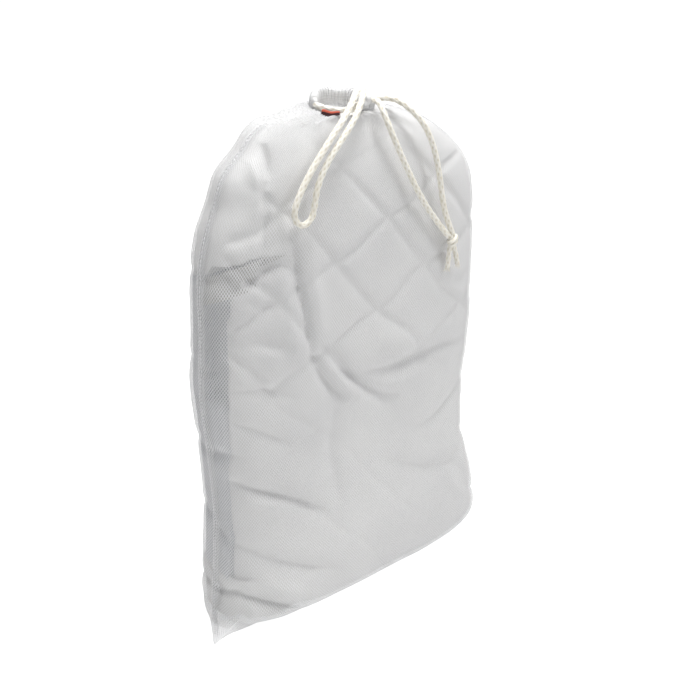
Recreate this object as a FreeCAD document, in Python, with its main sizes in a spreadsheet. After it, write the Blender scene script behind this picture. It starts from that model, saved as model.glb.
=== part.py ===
"""A mesh laundry bag, filled with folded bedding and standing upright.

Millimetres, +Z up, front towards -Y. The origin is on the ground under the middle
of the bag. The net is a thin shell of rounded-rectangle sections: nearly straight
walls up to the shoulders, then an elliptical rise to the gathered mouth.
"""

import FreeCAD, Part

import math
import os

import Sketcher

SIZES = {
    # The net shell: half widths and half depths at a few heights.
    "net_thickness": 1.2,
    "foot_half_width": 166,
    "foot_half_depth": 55,
    "low_height": 62,
    "low_half_width": 170,
    "low_half_depth": 56,
    "waist_height": 200,
    "waist_half_width": 165,
    "waist_half_depth": 52,
    "shoulder_height": 385,
    "shoulder_half_width": 163,
    "shoulder_half_depth": 47,
    "shoulder_rise": 134,
    "shoulder_power": 1.15,
    "neck_half_width": 36,
    "neck_half_depth": 31,
    "round_share": 0.75,
    "mouth_shift": -8,
    "mouth_hole_radius": 28.6,
    # The two sewn corners that stick out at the foot.
    "corner_reach": 200,
    "corner_height": 60,
    "corner_tip_height": 4,
    # The gathered casing round the mouth and the cord in it.
    "casing_height": 520,
    "casing_radius": 21,
    "casing_wall": 1.2,
    "casing_band": 14,
    "casing_depth": 10,
    "casing_tilt": 8,
    "thread_radius": 0.4,
    "thread_rise": 2,
    "cord_radius": 3,
    # Seams.
    "seam_width": 8,
    "seam_thickness": 2,
    "seam_gap": 0.4,
    "thread_width": 0.8,
    "bottom_seam_half_length": 150,
    # The blank sewn-in label.
    "label_width": 16,
    "label_drop": 6,
    "label_thickness": 0.6,
    "label_radius": 27,
    "label_angle": 220,
    "label_bottom": 516.5,
    # The load inside.
    "load_side_gap": 12,
    "load_face_gap": 3,
    "load_floor_gap": 6,
    "load_foot_inset": 8,
    "pad_left_top": 384,
    "pad_shelf_x": -120,
    "towel_edge_x": -138,
    "towel_front_y": -14,
    "towel_top": 236,
    "recess_top": 366,
    "gap_edge_x": -105,
    "corner_cloth_top": 44,
    "corner_cloth_edge_x": -112,
    "piece_gap": 2,
    # The overhand knot and the cut tails below it.
    "knot_half_height": 8.5,
    "knot_half_width": 7,
    "knot_half_depth": 5,
}

# Shoulder sections, as angles up the elliptical rise.
SHOULDER_ANGLES = (0, 25, 45, 65, 80, 90)

# Start and sweep of each piece of the mouth's ring in degrees, counterclockwise from +X, seen
# from above. The casing is open at the front right, where the cord comes out.
BACK_CASING_ARC = (-14, 184)
FRONT_CASING_ARC = (171, 76)
CORD_ARC = (-8, 353)

# Routes of the free cord, from the casing outwards, on the front of the bag.
BIGHT_ROUTE = [
    (6, -14, 533), (-7, -27, 531), (-26, -39, 519), (-49, -46, 502), (-71, -49, 481), (-88, -51, 460),
    (-96, -52, 445), (-95, -52, 434), (-86, -52, 428), (-76, -52, 434), (-73, -52, 446), (-69, -51, 463),
    (-56, -49, 482), (-38, -47, 499), (-18, -42, 515), (0, -31, 530), (14, -14, 533),
]
END_A_ROUTE = [
    (22, -16, 523), (20, -29, 525), (17, -40, 516), (21, -48, 497), (37, -50, 465),
    (57, -51.5, 430), (76, -52.5, 404), (97, -53, 381),
]
END_B_ROUTE = [
    (29, -16, 523), (38, -25, 525), (48, -37, 518), (62, -45.5, 502), (71, -48, 486),
    (78, -49.5, 467), (83, -51, 445), (87, -52, 421), (93, -52.5, 401), (102, -53, 383),
]
KNOT_PLACE = (102, -53.5, 376)
TAIL_A_ROUTE = [(100, -53, 371), (99, -52.5, 360), (98, -52.5, 346)]
TAIL_B_ROUTE = [(104, -53, 371), (109, -52.5, 361), (112, -52.5, 347)]
ARC_SHARE = 0.45

doc = FreeCAD.newDocument("MeshLaundryBag")
sheet = doc.addObject("Spreadsheet::Sheet", "Sizes")
for row, (alias, value) in enumerate(SIZES.items(), start=1):
    sheet.set(f"A{row}", alias)
    sheet.set(f"B{row}", str(value))
    sheet.setAlias(f"B{row}", alias)
doc.recompute()

subparts = []


# ---------------------------------------------------------------- common helpers


def new_body(label):
    """A body that becomes one node of the assembly."""
    body = doc.addObject("PartDesign::Body", label)
    body.Label = label
    subparts.append(body)
    return body


def origin_plane(body, role):
    return next(plane for plane in body.Origin.OriginFeatures if plane.Role == role)


def new_sketch(body, name, role, offset="0"):
    """A sketch on one of the body's own origin planes, raised by an expression."""
    sketch = body.newObject("Sketcher::SketchObject", name)
    sketch.AttachmentSupport = [(origin_plane(body, role), "")]
    sketch.MapMode = "FlatFace"
    if offset != "0":
        sketch.setExpression("AttachmentOffset.Base.z", offset)
    return sketch


def number(expression):
    """The value of an expression on the sheet's cells, in millimetres."""
    value = sheet.evalExpression(expression)
    return float(getattr(value, "Value", value))


def bind(sketch, constraint, expression):
    """Adds a dimension and ties it to the sheet."""
    index = sketch.addConstraint(constraint)
    name = f"dimension_{index}"
    sketch.renameConstraint(index, name)
    sketch.setExpression(f"Constraints.{name}", expression)


def pin_point(sketch, geometry, end, x, y):
    """Ties one end of a line to the expressions x and y, whichever side of the origin it is on."""
    for axis, expression in (("DistanceX", x), ("DistanceY", y)):
        size = number(expression)
        if abs(size) < 1e-9:
            on_axis = -2 if axis == "DistanceX" else -1
            sketch.addConstraint(Sketcher.Constraint("PointOnObject", geometry, end, on_axis))
        elif size > 0:
            bind(sketch, Sketcher.Constraint(axis, -1, 1, geometry, end, size), expression)
        else:
            bind(sketch, Sketcher.Constraint(axis, geometry, end, -1, 1, -size), f"-({expression})")


def draw_polygon(sketch, points):
    """A closed polygon whose corners are pairs of expressions."""
    places = [FreeCAD.Vector(number(x), number(y), 0) for x, y in points]
    count = len(places)
    first = sketch.GeometryCount
    for i, place in enumerate(places):
        sketch.addGeometry(Part.LineSegment(place, places[(i + 1) % count]), False)
    for i, (x, y) in enumerate(points):
        after = first + (i + 1) % count
        sketch.addConstraint(Sketcher.Constraint("Coincident", first + i, 2, after, 1))
        pin_point(sketch, first + i, 1, x, y)


def draw_circle(sketch, x, y, radius):
    """A circle whose centre and radius are expressions, with the centre on the sketch's X side."""
    circle = Part.Circle(FreeCAD.Vector(number(x), number(y), 0), FreeCAD.Vector(0, 0, 1), number(radius))
    index = sketch.addGeometry(circle, False)
    pin_point(sketch, index, 3, x, y)
    bind(sketch, Sketcher.Constraint("Radius", index, number(radius)), radius)


def rounded_section(body, name, height, half_width, half_depth, shift):
    """A rounded rectangle round the bag's axis at one height, all of it bound to the sheet."""
    sketch = new_sketch(body, name, "XY_Plane", height)
    radius_text = f"({half_depth}) * Sizes.round_share"
    right = f"({half_width}) + ({shift})"
    left = f"({half_width}) - ({shift})"
    east, west = number(right), number(left)
    deep, radius = number(half_depth), number(radius_text)
    corners = [
        (east - radius, radius - deep, -90),
        (east - radius, deep - radius, 0),
        (radius - west, deep - radius, 90),
        (radius - west, radius - deep, 180),
    ]
    ends = []
    for x, y, start in corners:
        first, last = math.radians(start), math.radians(start + 90)
        circle = Part.Circle(FreeCAD.Vector(x, y, 0), FreeCAD.Vector(0, 0, 1), radius)
        sketch.addGeometry(Part.ArcOfCircle(circle, first, last), False)
        ends.append([(x + radius * math.cos(a), y + radius * math.sin(a)) for a in (first, last)])
    for i in range(4):
        start = FreeCAD.Vector(*ends[i][1], 0)
        end = FreeCAD.Vector(*ends[(i + 1) % 4][0], 0)
        sketch.addGeometry(Part.LineSegment(start, end), False)
    for i in range(4):
        sketch.addConstraint(Sketcher.Constraint("Tangent", i, 2, 4 + i, 1))
        sketch.addConstraint(Sketcher.Constraint("Tangent", 4 + i, 2, (i + 1) % 4, 1))
    for line in (4, 6):
        sketch.addConstraint(Sketcher.Constraint("Vertical", line))
    for line in (5, 7):
        sketch.addConstraint(Sketcher.Constraint("Horizontal", line))
    for arc in (1, 2, 3):
        sketch.addConstraint(Sketcher.Constraint("Equal", 0, arc))
    bind(sketch, Sketcher.Constraint("Radius", 0, radius), radius_text)
    bind(sketch, Sketcher.Constraint("DistanceX", -1, 1, 4, 1, east), right)
    bind(sketch, Sketcher.Constraint("DistanceX", 6, 1, -1, 1, west), left)
    bind(sketch, Sketcher.Constraint("DistanceY", -1, 1, 5, 1, deep), half_depth)
    bind(sketch, Sketcher.Constraint("DistanceY", 7, 1, -1, 1, deep), half_depth)
    return sketch


def loft(body, name, sections, cut=False):
    """A ruled loft through section sketches, added to or cut from the body."""
    kind = "PartDesign::SubtractiveLoft" if cut else "PartDesign::AdditiveLoft"
    feature = body.newObject(kind, name)
    feature.Profile = sections[0]
    feature.Sections = sections[1:]
    feature.Ruled = True
    feature.Closed = False
    doc.recompute()
    return feature


def cut_through(body, name, sketch, length, reverse):
    """A pocket whose length is an expression, and which has to take something away."""
    before = body.Shape.Volume
    pocket = body.newObject("PartDesign::Pocket", name)
    pocket.Profile = sketch
    pocket.Type = 0
    pocket.setExpression("Length", length)
    pocket.Reversed = reverse
    doc.recompute()
    if not body.Shape.Volume < before - 1:
        raise RuntimeError(f"{body.Label}: {name} cuts nothing")
    return pocket


def cut_block(body, name, x, y, z):
    """Cuts the box between three pairs of expressions out of a body."""
    sketch = new_sketch(body, f"{name}_outline", "XY_Plane", z[0])
    draw_polygon(sketch, [(x[0], y[0]), (x[1], y[0]), (x[1], y[1]), (x[0], y[1])])
    cut_through(body, name, sketch, f"({z[1]}) - ({z[0]})", True)


def keep_half(body, front):
    """Cuts the half of a body behind or in front of the Y = 0 plane away."""
    sketch = new_sketch(body, "half_outline", "XZ_Plane")
    wide, high = "2 * Sizes.corner_reach", "2 * Sizes.casing_height"
    low = "-Sizes.low_height"
    draw_polygon(sketch, [(f"-{wide}", low), (wide, low), (wide, high), (f"-{wide}", high)])
    cut_through(body, "half_cut", sketch, "2 * Sizes.foot_half_depth", not front)


# ---------------------------------------------------------------- shape of the bag


def wall_section(inset, level):
    """Height, half width, half depth and shift of one straight-wall section."""
    height = inset if level == "foot" else f"Sizes.{level}_height"
    return height, f"Sizes.{level}_half_width - {inset}", f"Sizes.{level}_half_depth - {inset}", "0"


def shoulder_section(inset, angle):
    """The same for a section at an angle up the elliptical shoulder."""
    fall = f"cos({angle} deg)^Sizes.shoulder_power" if angle < 90 else "0"
    height = f"Sizes.shoulder_height + (Sizes.shoulder_rise - {inset}) * sin({angle} deg)"
    width = f"Sizes.neck_half_width + (Sizes.shoulder_half_width - Sizes.neck_half_width) * {fall} - {inset}"
    depth = f"Sizes.neck_half_depth + (Sizes.shoulder_half_depth - Sizes.neck_half_depth) * {fall} - {inset}"
    shift = f"Sizes.mouth_shift * (1 - cos({angle} deg))"
    return height, width, depth, shift


def bag_sections(inset):
    """All the bag's sections, drawn in by inset from the outer face."""
    walls = [wall_section(inset, level) for level in ("foot", "low", "waist")]
    return walls + [shoulder_section(inset, angle) for angle in SHOULDER_ANGLES]


def draw_sections(body, name, sections):
    return [rounded_section(body, f"{name}_{i}", *section) for i, section in enumerate(sections)]


def add_corner(body, side, front):
    """The flat sewn corner at the foot: this panel's layer of it."""
    sketch = new_sketch(body, f"corner_{'right' if side > 0 else 'left'}", "XZ_Plane")
    root_low = f"{side} * (Sizes.foot_half_width - Sizes.net_thickness / 2)"
    root_high = f"{side} * (Sizes.low_half_width - Sizes.net_thickness / 2)"
    tip = f"{side} * Sizes.corner_reach"
    tip_high = "Sizes.corner_tip_height"
    draw_polygon(sketch, [(root_low, "0"), (tip, "0"), (tip, tip_high), (root_high, "Sizes.corner_height")])
    pad = body.newObject("PartDesign::Pad", f"corner_pad_{'right' if side > 0 else 'left'}")
    pad.Profile = sketch
    pad.setExpression("Length", "Sizes.net_thickness")
    pad.Reversed = not front
    doc.recompute()


def net_panel(label, front):
    """Half of the net shell, with its layer of the two sewn corners."""
    body = new_body(label)
    loft(body, "outside", draw_sections(body, "outer", bag_sections("0")))
    loft(body, "inside", draw_sections(body, "inner", bag_sections("Sizes.net_thickness")), cut=True)
    mouth = new_sketch(body, "mouth_outline", "XY_Plane", "Sizes.shoulder_height")
    draw_circle(mouth, "Sizes.mouth_shift", "0", "Sizes.mouth_hole_radius")
    cut_through(body, "mouth", mouth, "2 * Sizes.shoulder_rise", True)
    keep_half(body, front)
    for side in (-1, 1):
        add_corner(body, side, front)


# ---------------------------------------------------------------- seams and threads


def side_strip(label, side, near, far, thickness):
    """A strip along the bag's side, between two insets from its outer face, flat in the XZ plane."""
    body = new_body(label)
    sketch = new_sketch(body, "outline", "XZ_Plane")
    edges = []
    for inset in (near, far):
        sections = bag_sections(inset)[1:-2]
        edges.append([(f"{side} * ({width}) + ({shift})", height) for height, width, _, shift in sections])
    draw_polygon(sketch, edges[0] + edges[1][::-1])
    pad = body.newObject("PartDesign::Pad", "strip")
    pad.Profile = sketch
    pad.Midplane = True
    pad.setExpression("Length", thickness)


def side_seams():
    seam_near = "(Sizes.net_thickness + Sizes.seam_gap)"
    seam_far = "(Sizes.net_thickness + Sizes.seam_gap + Sizes.seam_width)"
    thread_near = "(-Sizes.seam_gap)"
    thread_far = "(-Sizes.seam_gap - Sizes.thread_width)"
    for name, side in (("left", -1), ("right", 1)):
        side_strip(f"{name}_side_seam", side, seam_near, seam_far, "Sizes.seam_thickness")
        side_strip(f"{name}_seam_thread", side, thread_near, thread_far, "Sizes.thread_width")


def bottom_strip(label, half_width, height, thickness):
    """A bar along the bottom seam, lying on the net inside the bag."""
    body = new_body(label)
    sketch = new_sketch(body, "outline", "XY_Plane", height)
    length = "Sizes.bottom_seam_half_length"
    corners = [(f"-{length}", f"-({half_width})"), (length, f"-({half_width})")]
    corners += [(length, half_width), (f"-{length}", half_width)]
    draw_polygon(sketch, corners)
    pad = body.newObject("PartDesign::Pad", "strip")
    pad.Profile = sketch
    pad.setExpression("Length", thickness)


def bottom_seam():
    seam_floor = "Sizes.net_thickness + Sizes.seam_gap"
    bottom_strip("bottom_seam", "Sizes.seam_width / 2", seam_floor, "Sizes.seam_thickness")
    thread_floor = f"{seam_floor} + Sizes.seam_thickness + Sizes.seam_gap / 2"
    bottom_strip("bottom_seam_thread", "Sizes.thread_width / 2", thread_floor, "Sizes.thread_width")


# ---------------------------------------------------------------- mouth


def place_at_mouth(body, turn):
    """Puts a ring piece round the mouth, turned to its start angle and tilted up at the back."""
    tilt = FreeCAD.Rotation(FreeCAD.Vector(1, 0, 0), number("Sizes.casing_tilt"))
    spin = FreeCAD.Rotation(FreeCAD.Vector(0, 0, 1), turn)
    place = FreeCAD.Vector(number("Sizes.mouth_shift"), 0, number("Sizes.casing_height"))
    body.Placement = FreeCAD.Placement(place, tilt.multiply(spin))


def ring_piece(label, arc, draw):
    """A piece of a ring round the mouth, from a start angle through a sweep."""
    start, sweep = arc
    body = new_body(label)
    sketch = new_sketch(body, "section", "XZ_Plane")
    draw(sketch)
    ring = body.newObject("PartDesign::Revolution", "ring")
    ring.Profile = sketch
    ring.ReferenceAxis = (sketch, ["V_Axis"])
    ring.Angle = sweep
    ring.Reversed = False
    doc.recompute()
    middle = body.Shape.CenterOfMass
    if middle.y < 0:
        ring.Reversed = True
        doc.recompute()
    place_at_mouth(body, start)


def draw_casing(sketch):
    """The tunnel's outline and its hollow, beside the mouth's axis."""
    for wall in ("0", "Sizes.casing_wall"):
        near = f"Sizes.casing_radius - Sizes.casing_depth / 2 + {wall}"
        far = f"Sizes.casing_radius + Sizes.casing_depth / 2 - {wall}"
        high = f"Sizes.casing_band / 2 - {wall}"
        draw_polygon(sketch, [(near, f"-({high})"), (far, f"-({high})"), (far, high), (near, high)])


def draw_cord(sketch):
    draw_circle(sketch, "Sizes.casing_radius", "0", "Sizes.cord_radius")


def draw_casing_thread(sketch):
    outside = "Sizes.casing_radius + Sizes.casing_depth / 2 + 2 * Sizes.thread_radius"
    draw_circle(sketch, outside, "Sizes.thread_rise - Sizes.casing_band / 2", "Sizes.thread_radius")


def mouth():
    """The casing with its threads, and the cord inside it."""
    for name, arc in (("back", BACK_CASING_ARC), ("front", FRONT_CASING_ARC)):
        ring_piece(f"{name}_casing", arc, draw_casing)
        ring_piece(f"{name}_casing_thread", arc, draw_casing_thread)
    ring_piece("drawcord_in_casing", CORD_ARC, draw_cord)


def side_label():
    """The blank label that stands on the casing's outside at the front left, along its curve."""
    label = doc.addObject("Part::Box", "side_label")
    label.Label = "side_label"
    label.setExpression("Length", "Sizes.label_width")
    label.setExpression("Width", "Sizes.label_thickness")
    label.setExpression("Height", "Sizes.label_drop")
    outwards = "Sizes.label_radius * {}(Sizes.label_angle)"
    along = "Sizes.label_width / 2 * {}(Sizes.label_angle)"
    x = f"Sizes.mouth_shift + {outwards.format('cos')} + {along.format('sin')}"
    y = f"{outwards.format('sin')} - {along.format('cos')}"
    label.setExpression("Placement.Base.x", x)
    label.setExpression("Placement.Base.y", y)
    label.setExpression("Placement.Base.z", "Sizes.label_bottom")
    label.setExpression("Placement.Rotation.Angle", "Sizes.label_angle - 270")
    subparts.append(label)


# ---------------------------------------------------------------- free cord


def arc_corner(before, corner, after):
    """Start, middle and end of the tangent arc at a corner of a route, and its radius."""
    back = before.sub(corner)
    ahead = after.sub(corner)
    reach = ARC_SHARE * min(back.Length, ahead.Length)
    back.normalize()
    ahead.normalize()
    half_turn = (math.pi - back.getAngle(ahead)) / 2
    radius = reach / math.tan(half_turn)
    inward = back.add(ahead)
    inward.normalize()
    depth = radius / math.cos(half_turn) - radius
    return corner.add(back * reach), corner.add(inward * depth), corner.add(ahead * reach), radius


def cord_path(name, route):
    """A wire of straight runs joined by tangent arcs; prints its length and its tightest arc."""
    places = [FreeCAD.Vector(*point) for point in route]
    edges = []
    radii = []
    here = places[0]
    for before, corner, after in zip(places, places[1:], places[2:]):
        first, middle, last, radius = arc_corner(before, corner, after)
        edges.append(Part.LineSegment(here, first).toShape())
        edges.append(Part.Arc(first, middle, last).toShape())
        radii.append(radius)
        here = last
    edges.append(Part.LineSegment(here, places[-1]).toShape())
    path = doc.addObject("Part::Feature", f"{name}_path")
    path.Shape = Part.Wire(edges)
    print(name, "length", round(path.Shape.Length, 1), "radii", [round(r, 1) for r in radii])
    return path


def cord_tube(label, route):
    """A round tube along a route, whose radius is the sheet's."""
    path = cord_path(label, route)
    section = doc.addObject("Part::Circle", f"{label}_section")
    section.setExpression("Radius", "Sizes.cord_radius")
    start = FreeCAD.Vector(*route[0])
    ahead = FreeCAD.Vector(*route[1]).sub(start)
    turn = FreeCAD.Rotation(FreeCAD.Vector(0, 0, 1), ahead)
    section.Placement = FreeCAD.Placement(start, turn)
    tube = doc.addObject("Part::Sweep", label)
    tube.Label = label
    tube.Sections = [section]
    tube.Spine = (path, [f"Edge{i + 1}" for i in range(len(path.Shape.Edges))])
    tube.Solid = True
    tube.Frenet = False
    subparts.append(tube)
    doc.recompute()
    ideal = math.pi * number("Sizes.cord_radius") ** 2 * path.Shape.Length
    if abs(tube.Shape.Volume / ideal - 1) > 0.02:
        raise RuntimeError(f"{label}: volume {tube.Shape.Volume:.0f}, section times length {ideal:.0f}")


def knot():
    """The overhand knot that holds the two ends together."""
    ball = doc.addObject("Part::Ellipsoid", "drawcord_knot")
    ball.Label = "drawcord_knot"
    ball.setExpression("Radius1", "Sizes.knot_half_height")
    ball.setExpression("Radius2", "Sizes.knot_half_width")
    ball.setExpression("Radius3", "Sizes.knot_half_depth")
    ball.Placement = FreeCAD.Placement(FreeCAD.Vector(*KNOT_PLACE), FreeCAD.Rotation())
    subparts.append(ball)


def free_cord():
    cord_tube("drawcord_bight", BIGHT_ROUTE)
    cord_tube("drawcord_end_a", END_A_ROUTE)
    cord_tube("drawcord_end_b", END_B_ROUTE)
    knot()
    cord_tube("drawcord_tail_a", TAIL_A_ROUTE)
    cord_tube("drawcord_tail_b", TAIL_B_ROUTE)


# ---------------------------------------------------------------- load


def load_sections():
    """The bag's sections drawn in for the load: more at the sides, where the seams are."""
    narrowed = bag_sections("Sizes.load_side_gap")[1:-2]
    thinned = bag_sections("(Sizes.net_thickness + Sizes.load_face_gap)")[1:-2]
    sections = []
    for (height, width, _, shift), (_, _, depth, _) in zip(narrowed, thinned):
        sections.append((height, width, depth, shift))
    width = "Sizes.foot_half_width - Sizes.load_side_gap - Sizes.load_foot_inset"
    depth = "Sizes.foot_half_depth - Sizes.net_thickness - Sizes.load_face_gap - Sizes.load_foot_inset"
    return [("Sizes.load_floor_gap", width, depth, "0")] + sections


def quilted_pad():
    """The folded bed pad that fills the bag, less the room of the pieces at its left."""
    body = new_body("quilted_pad")
    loft(body, "block", draw_sections(body, "pad", load_sections()))
    left = "-Sizes.corner_reach"
    front, back = "-Sizes.foot_half_depth", "Sizes.foot_half_depth"
    top = "Sizes.casing_height"
    cut_block(body, "sheet_room", (left, "Sizes.pad_shelf_x"), (front, back), ("Sizes.pad_left_top", top))
    cut_block(body, "side_room", (left, "Sizes.towel_edge_x"), ("Sizes.towel_front_y", back), ("0", top))
    gap = ("Sizes.towel_top", "Sizes.recess_top")
    cut_block(body, "gap_room", (left, "Sizes.gap_edge_x"), ("Sizes.towel_front_y", back), gap)
    corner = ("0", "Sizes.corner_cloth_top")
    cut_block(body, "corner_room", (left, "Sizes.corner_cloth_edge_x"), (front, back), corner)


def load_piece(label, x, y, z):
    """A soft piece of the load: the load's outline inside one box."""
    body = new_body(label)
    loft(body, "block", draw_sections(body, "load", load_sections()))
    far = "Sizes.corner_reach"
    every_y = ("-Sizes.foot_half_depth", "Sizes.foot_half_depth")
    every_z = ("0", "Sizes.casing_height")
    cut_block(body, "right_cut", (x[1], far), every_y, every_z)
    if z[1] != every_z[1]:
        cut_block(body, "top_cut", (f"-{far}", x[1]), every_y, (z[1], every_z[1]))
    if z[0] != every_z[0]:
        cut_block(body, "bottom_cut", (f"-{far}", x[1]), every_y, (every_z[0], z[0]))
    if y[0] != every_y[0]:
        cut_block(body, "front_cut", (f"-{far}", x[1]), (every_y[0], y[0]), every_z)


def load():
    gap = "Sizes.piece_gap"
    every_y = ("-Sizes.foot_half_depth", "Sizes.foot_half_depth")
    shelf = ("-Sizes.corner_reach", f"Sizes.pad_shelf_x - {gap}")
    beside = ("-Sizes.corner_reach", f"Sizes.towel_edge_x - {gap}")
    corner = ("-Sizes.corner_reach", f"Sizes.corner_cloth_edge_x - {gap}")
    rear = (f"Sizes.towel_front_y + {gap}", "Sizes.foot_half_depth")
    quilted_pad()
    load_piece("upper_sheet_bundle", shelf, every_y, (f"Sizes.pad_left_top + {gap}", "Sizes.casing_height"))
    load_piece("sheet_flap", beside, rear, (f"Sizes.recess_top + {gap}", "Sizes.pad_left_top"))
    load_piece("side_towel", beside, rear, (f"Sizes.corner_cloth_top + {gap}", "Sizes.towel_top"))
    load_piece("corner_cloth", corner, every_y, ("0", f"Sizes.corner_cloth_top - {gap}"))


# ---------------------------------------------------------------- build, check, write


def check_document():
    """Stops if any object failed to recompute or any sub-part has no valid shape."""
    for item in doc.Objects:
        if "Invalid" in item.State or "Error" in item.State:
            raise RuntimeError(f"{item.Name} did not recompute: {item.State}")
    for item in subparts:
        if item.Shape.isNull() or not item.Shape.isValid():
            raise RuntimeError(f"{item.Label} has no valid shape")


net_panel("front_net_panel", True)
net_panel("back_net_panel", False)
side_seams()
bottom_seam()
mouth()
side_label()
free_cord()
load()
doc.recompute()
check_document()

os.makedirs("parts", exist_ok=True)
for item in subparts:
    item.Shape.exportStep(f"parts/{item.Label}.step")
    box = item.Shape.BoundBox
    corners = (box.XMin, box.XMax, box.YMin, box.YMax, box.ZMin, box.ZMax)
    print(item.Label, round(item.Shape.Volume), [round(value, 1) for value in corners])
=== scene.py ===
"""Looks of the mesh laundry bag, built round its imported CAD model.

Metres, in the CAD frame: +Z up, front towards -Y. Tables of the shape are in millimetres
and pass through mm(). The net and the load share one body surface and one set of creases,
so that the cloth lies on what it holds.
"""

import math

import bpy
import numpy as np
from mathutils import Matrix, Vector
from mathutils.bvhtree import BVHTree


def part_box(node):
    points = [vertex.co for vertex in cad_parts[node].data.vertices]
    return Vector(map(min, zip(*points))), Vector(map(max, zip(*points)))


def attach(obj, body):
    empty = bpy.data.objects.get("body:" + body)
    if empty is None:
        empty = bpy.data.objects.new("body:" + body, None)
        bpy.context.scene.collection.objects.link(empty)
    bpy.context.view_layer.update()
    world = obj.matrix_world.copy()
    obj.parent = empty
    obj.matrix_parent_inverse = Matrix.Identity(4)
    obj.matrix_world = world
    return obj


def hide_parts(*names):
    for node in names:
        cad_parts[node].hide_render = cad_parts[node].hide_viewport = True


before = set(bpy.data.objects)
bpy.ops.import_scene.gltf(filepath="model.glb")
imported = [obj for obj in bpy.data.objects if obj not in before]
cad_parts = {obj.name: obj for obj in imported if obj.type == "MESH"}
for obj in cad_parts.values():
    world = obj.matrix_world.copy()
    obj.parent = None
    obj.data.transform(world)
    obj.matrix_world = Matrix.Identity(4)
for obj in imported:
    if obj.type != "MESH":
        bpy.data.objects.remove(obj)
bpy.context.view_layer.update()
RANDOM = np.random.default_rng(7)

MM = 0.001
TAU = 2 * math.pi


def mm(values):
    """Millimetres to metres, as an array."""
    return np.asarray(values, float) * MM


# ---------------------------------------------------------------- camera and light

CAMERA_AZIMUTH = math.radians(-38.42)
CAMERA_ELEVATION = math.radians(25.34)
CAMERA_DISTANCE = 1.058
CAMERA_TARGET = Vector((0, 0, 0.26))
WORLD_LIGHT = 0.3


def add_camera():
    """Stands front left of the bag and looks a little down on it."""
    flat = math.cos(CAMERA_ELEVATION)
    back = Vector((math.sin(CAMERA_AZIMUTH) * flat, -math.cos(CAMERA_AZIMUTH) * flat,
                   math.sin(CAMERA_ELEVATION)))
    data = bpy.data.cameras.new("camera")
    data.sensor_width = 36
    data.lens = 51.33
    data.shift_x = 0.0109
    data.shift_y = 0.0007
    data.clip_start = 0.01
    camera = bpy.data.objects.new("camera", data)
    camera.location = CAMERA_TARGET + back * CAMERA_DISTANCE
    camera.rotation_euler = back.to_track_quat("Z", "Y").to_euler()
    bpy.context.scene.collection.objects.link(camera)
    bpy.context.scene.camera = camera


def add_area_light(name, place, size, power, tint=(1, 1, 1)):
    """A soft square light that faces the middle of the bag."""
    data = bpy.data.lights.new(name, "AREA")
    data.energy = power
    data.size = size
    data.color = tint
    light = bpy.data.objects.new(name, data)
    light.location = place
    aim = Vector(place) - Vector((0, 0, 0.27))
    light.rotation_euler = aim.to_track_quat("Z", "Y").to_euler()
    bpy.context.scene.collection.objects.link(light)


def add_studio():
    """White backdrop, pale floor, a high light at the front right and a softer one overhead."""
    bpy.context.scene.view_settings.view_transform = "Standard"
    world = bpy.data.worlds.new("studio")
    bpy.context.scene.world = world
    world.use_nodes = True
    tree = world.node_tree
    background = tree.nodes["Background"]
    background.inputs["Color"].default_value = (1, 1, 1, 1)
    feed(tree, background.inputs["Strength"], seen_or_lighting(tree, 1.0, WORLD_LIGHT))
    add_area_light("key", (0.75, -1.05, 1.75), 0.5, 8)
    add_area_light("top", (0.0, -0.05, 1.8), 0.8, 24.5, tint=(1, 0.992, 0.975))
    bpy.ops.mesh.primitive_plane_add(size=12, location=(0, 0, -0.0005))
    floor = bpy.context.active_object
    floor.name = "floor"
    floor.data.materials.append(floor_material())


# ---------------------------------------------------------------- materials

# The net's holes repeat at these steps, in metres of flat cloth; yarn and holes cover this much.
NET_PITCH_ACROSS = 0.0031
NET_PITCH_ALONG = 0.0037
YARN_COVER = 0.88
HOLE_COVER = 0.22
# The sheet's thread width and relief.
PERCALE = (0.0008, 0.00016)


def new_material(name, colour, roughness, sheen=0.0):
    """A fabric-like Principled material; returns it with its tree and shader."""
    material = bpy.data.materials.new(name)
    material.use_nodes = True
    tree = material.node_tree
    shader = tree.nodes["Principled BSDF"]
    shader.inputs["Base Color"].default_value = (*colour, 1)
    shader.inputs["Roughness"].default_value = roughness
    shader.inputs["Specular IOR Level"].default_value = 0.25
    shader.inputs["Sheen Weight"].default_value = sheen
    shader.inputs["Sheen Roughness"].default_value = 0.5
    return material, tree, shader


def feed(tree, socket, value):
    """Gives a socket a number, a colour or another node's output."""
    if isinstance(value, tuple):
        socket.default_value = (*value, 1)
    elif isinstance(value, (int, float)):
        socket.default_value = value
    else:
        tree.links.new(value, socket)


def math_node(tree, operation, *values):
    """A Math node whose inputs are sockets or numbers; returns its output."""
    node = tree.nodes.new("ShaderNodeMath")
    node.operation = operation
    for socket, value in zip(node.inputs, values):
        feed(tree, socket, value)
    return node.outputs[0]


def noise_node(tree, vector, scale, detail=3.0):
    """Noise from 0 to 1; its scale is in features to a metre."""
    node = tree.nodes.new("ShaderNodeTexNoise")
    node.inputs["Scale"].default_value = scale
    node.inputs["Detail"].default_value = detail
    node.inputs["Roughness"].default_value = 0.55
    feed(tree, node.inputs["Vector"], vector)
    return node.outputs["Fac"]


def ramp_node(tree, value, low, high, start, end):
    """Maps value from low..high to start..end, smoothly and clamped."""
    node = tree.nodes.new("ShaderNodeMapRange")
    node.interpolation_type = "SMOOTHSTEP"
    names = ("Value", "From Min", "From Max", "To Min", "To Max")
    for name, setting in zip(names, (value, low, high, start, end)):
        feed(tree, node.inputs[name], setting)
    return node.outputs["Result"]


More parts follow.
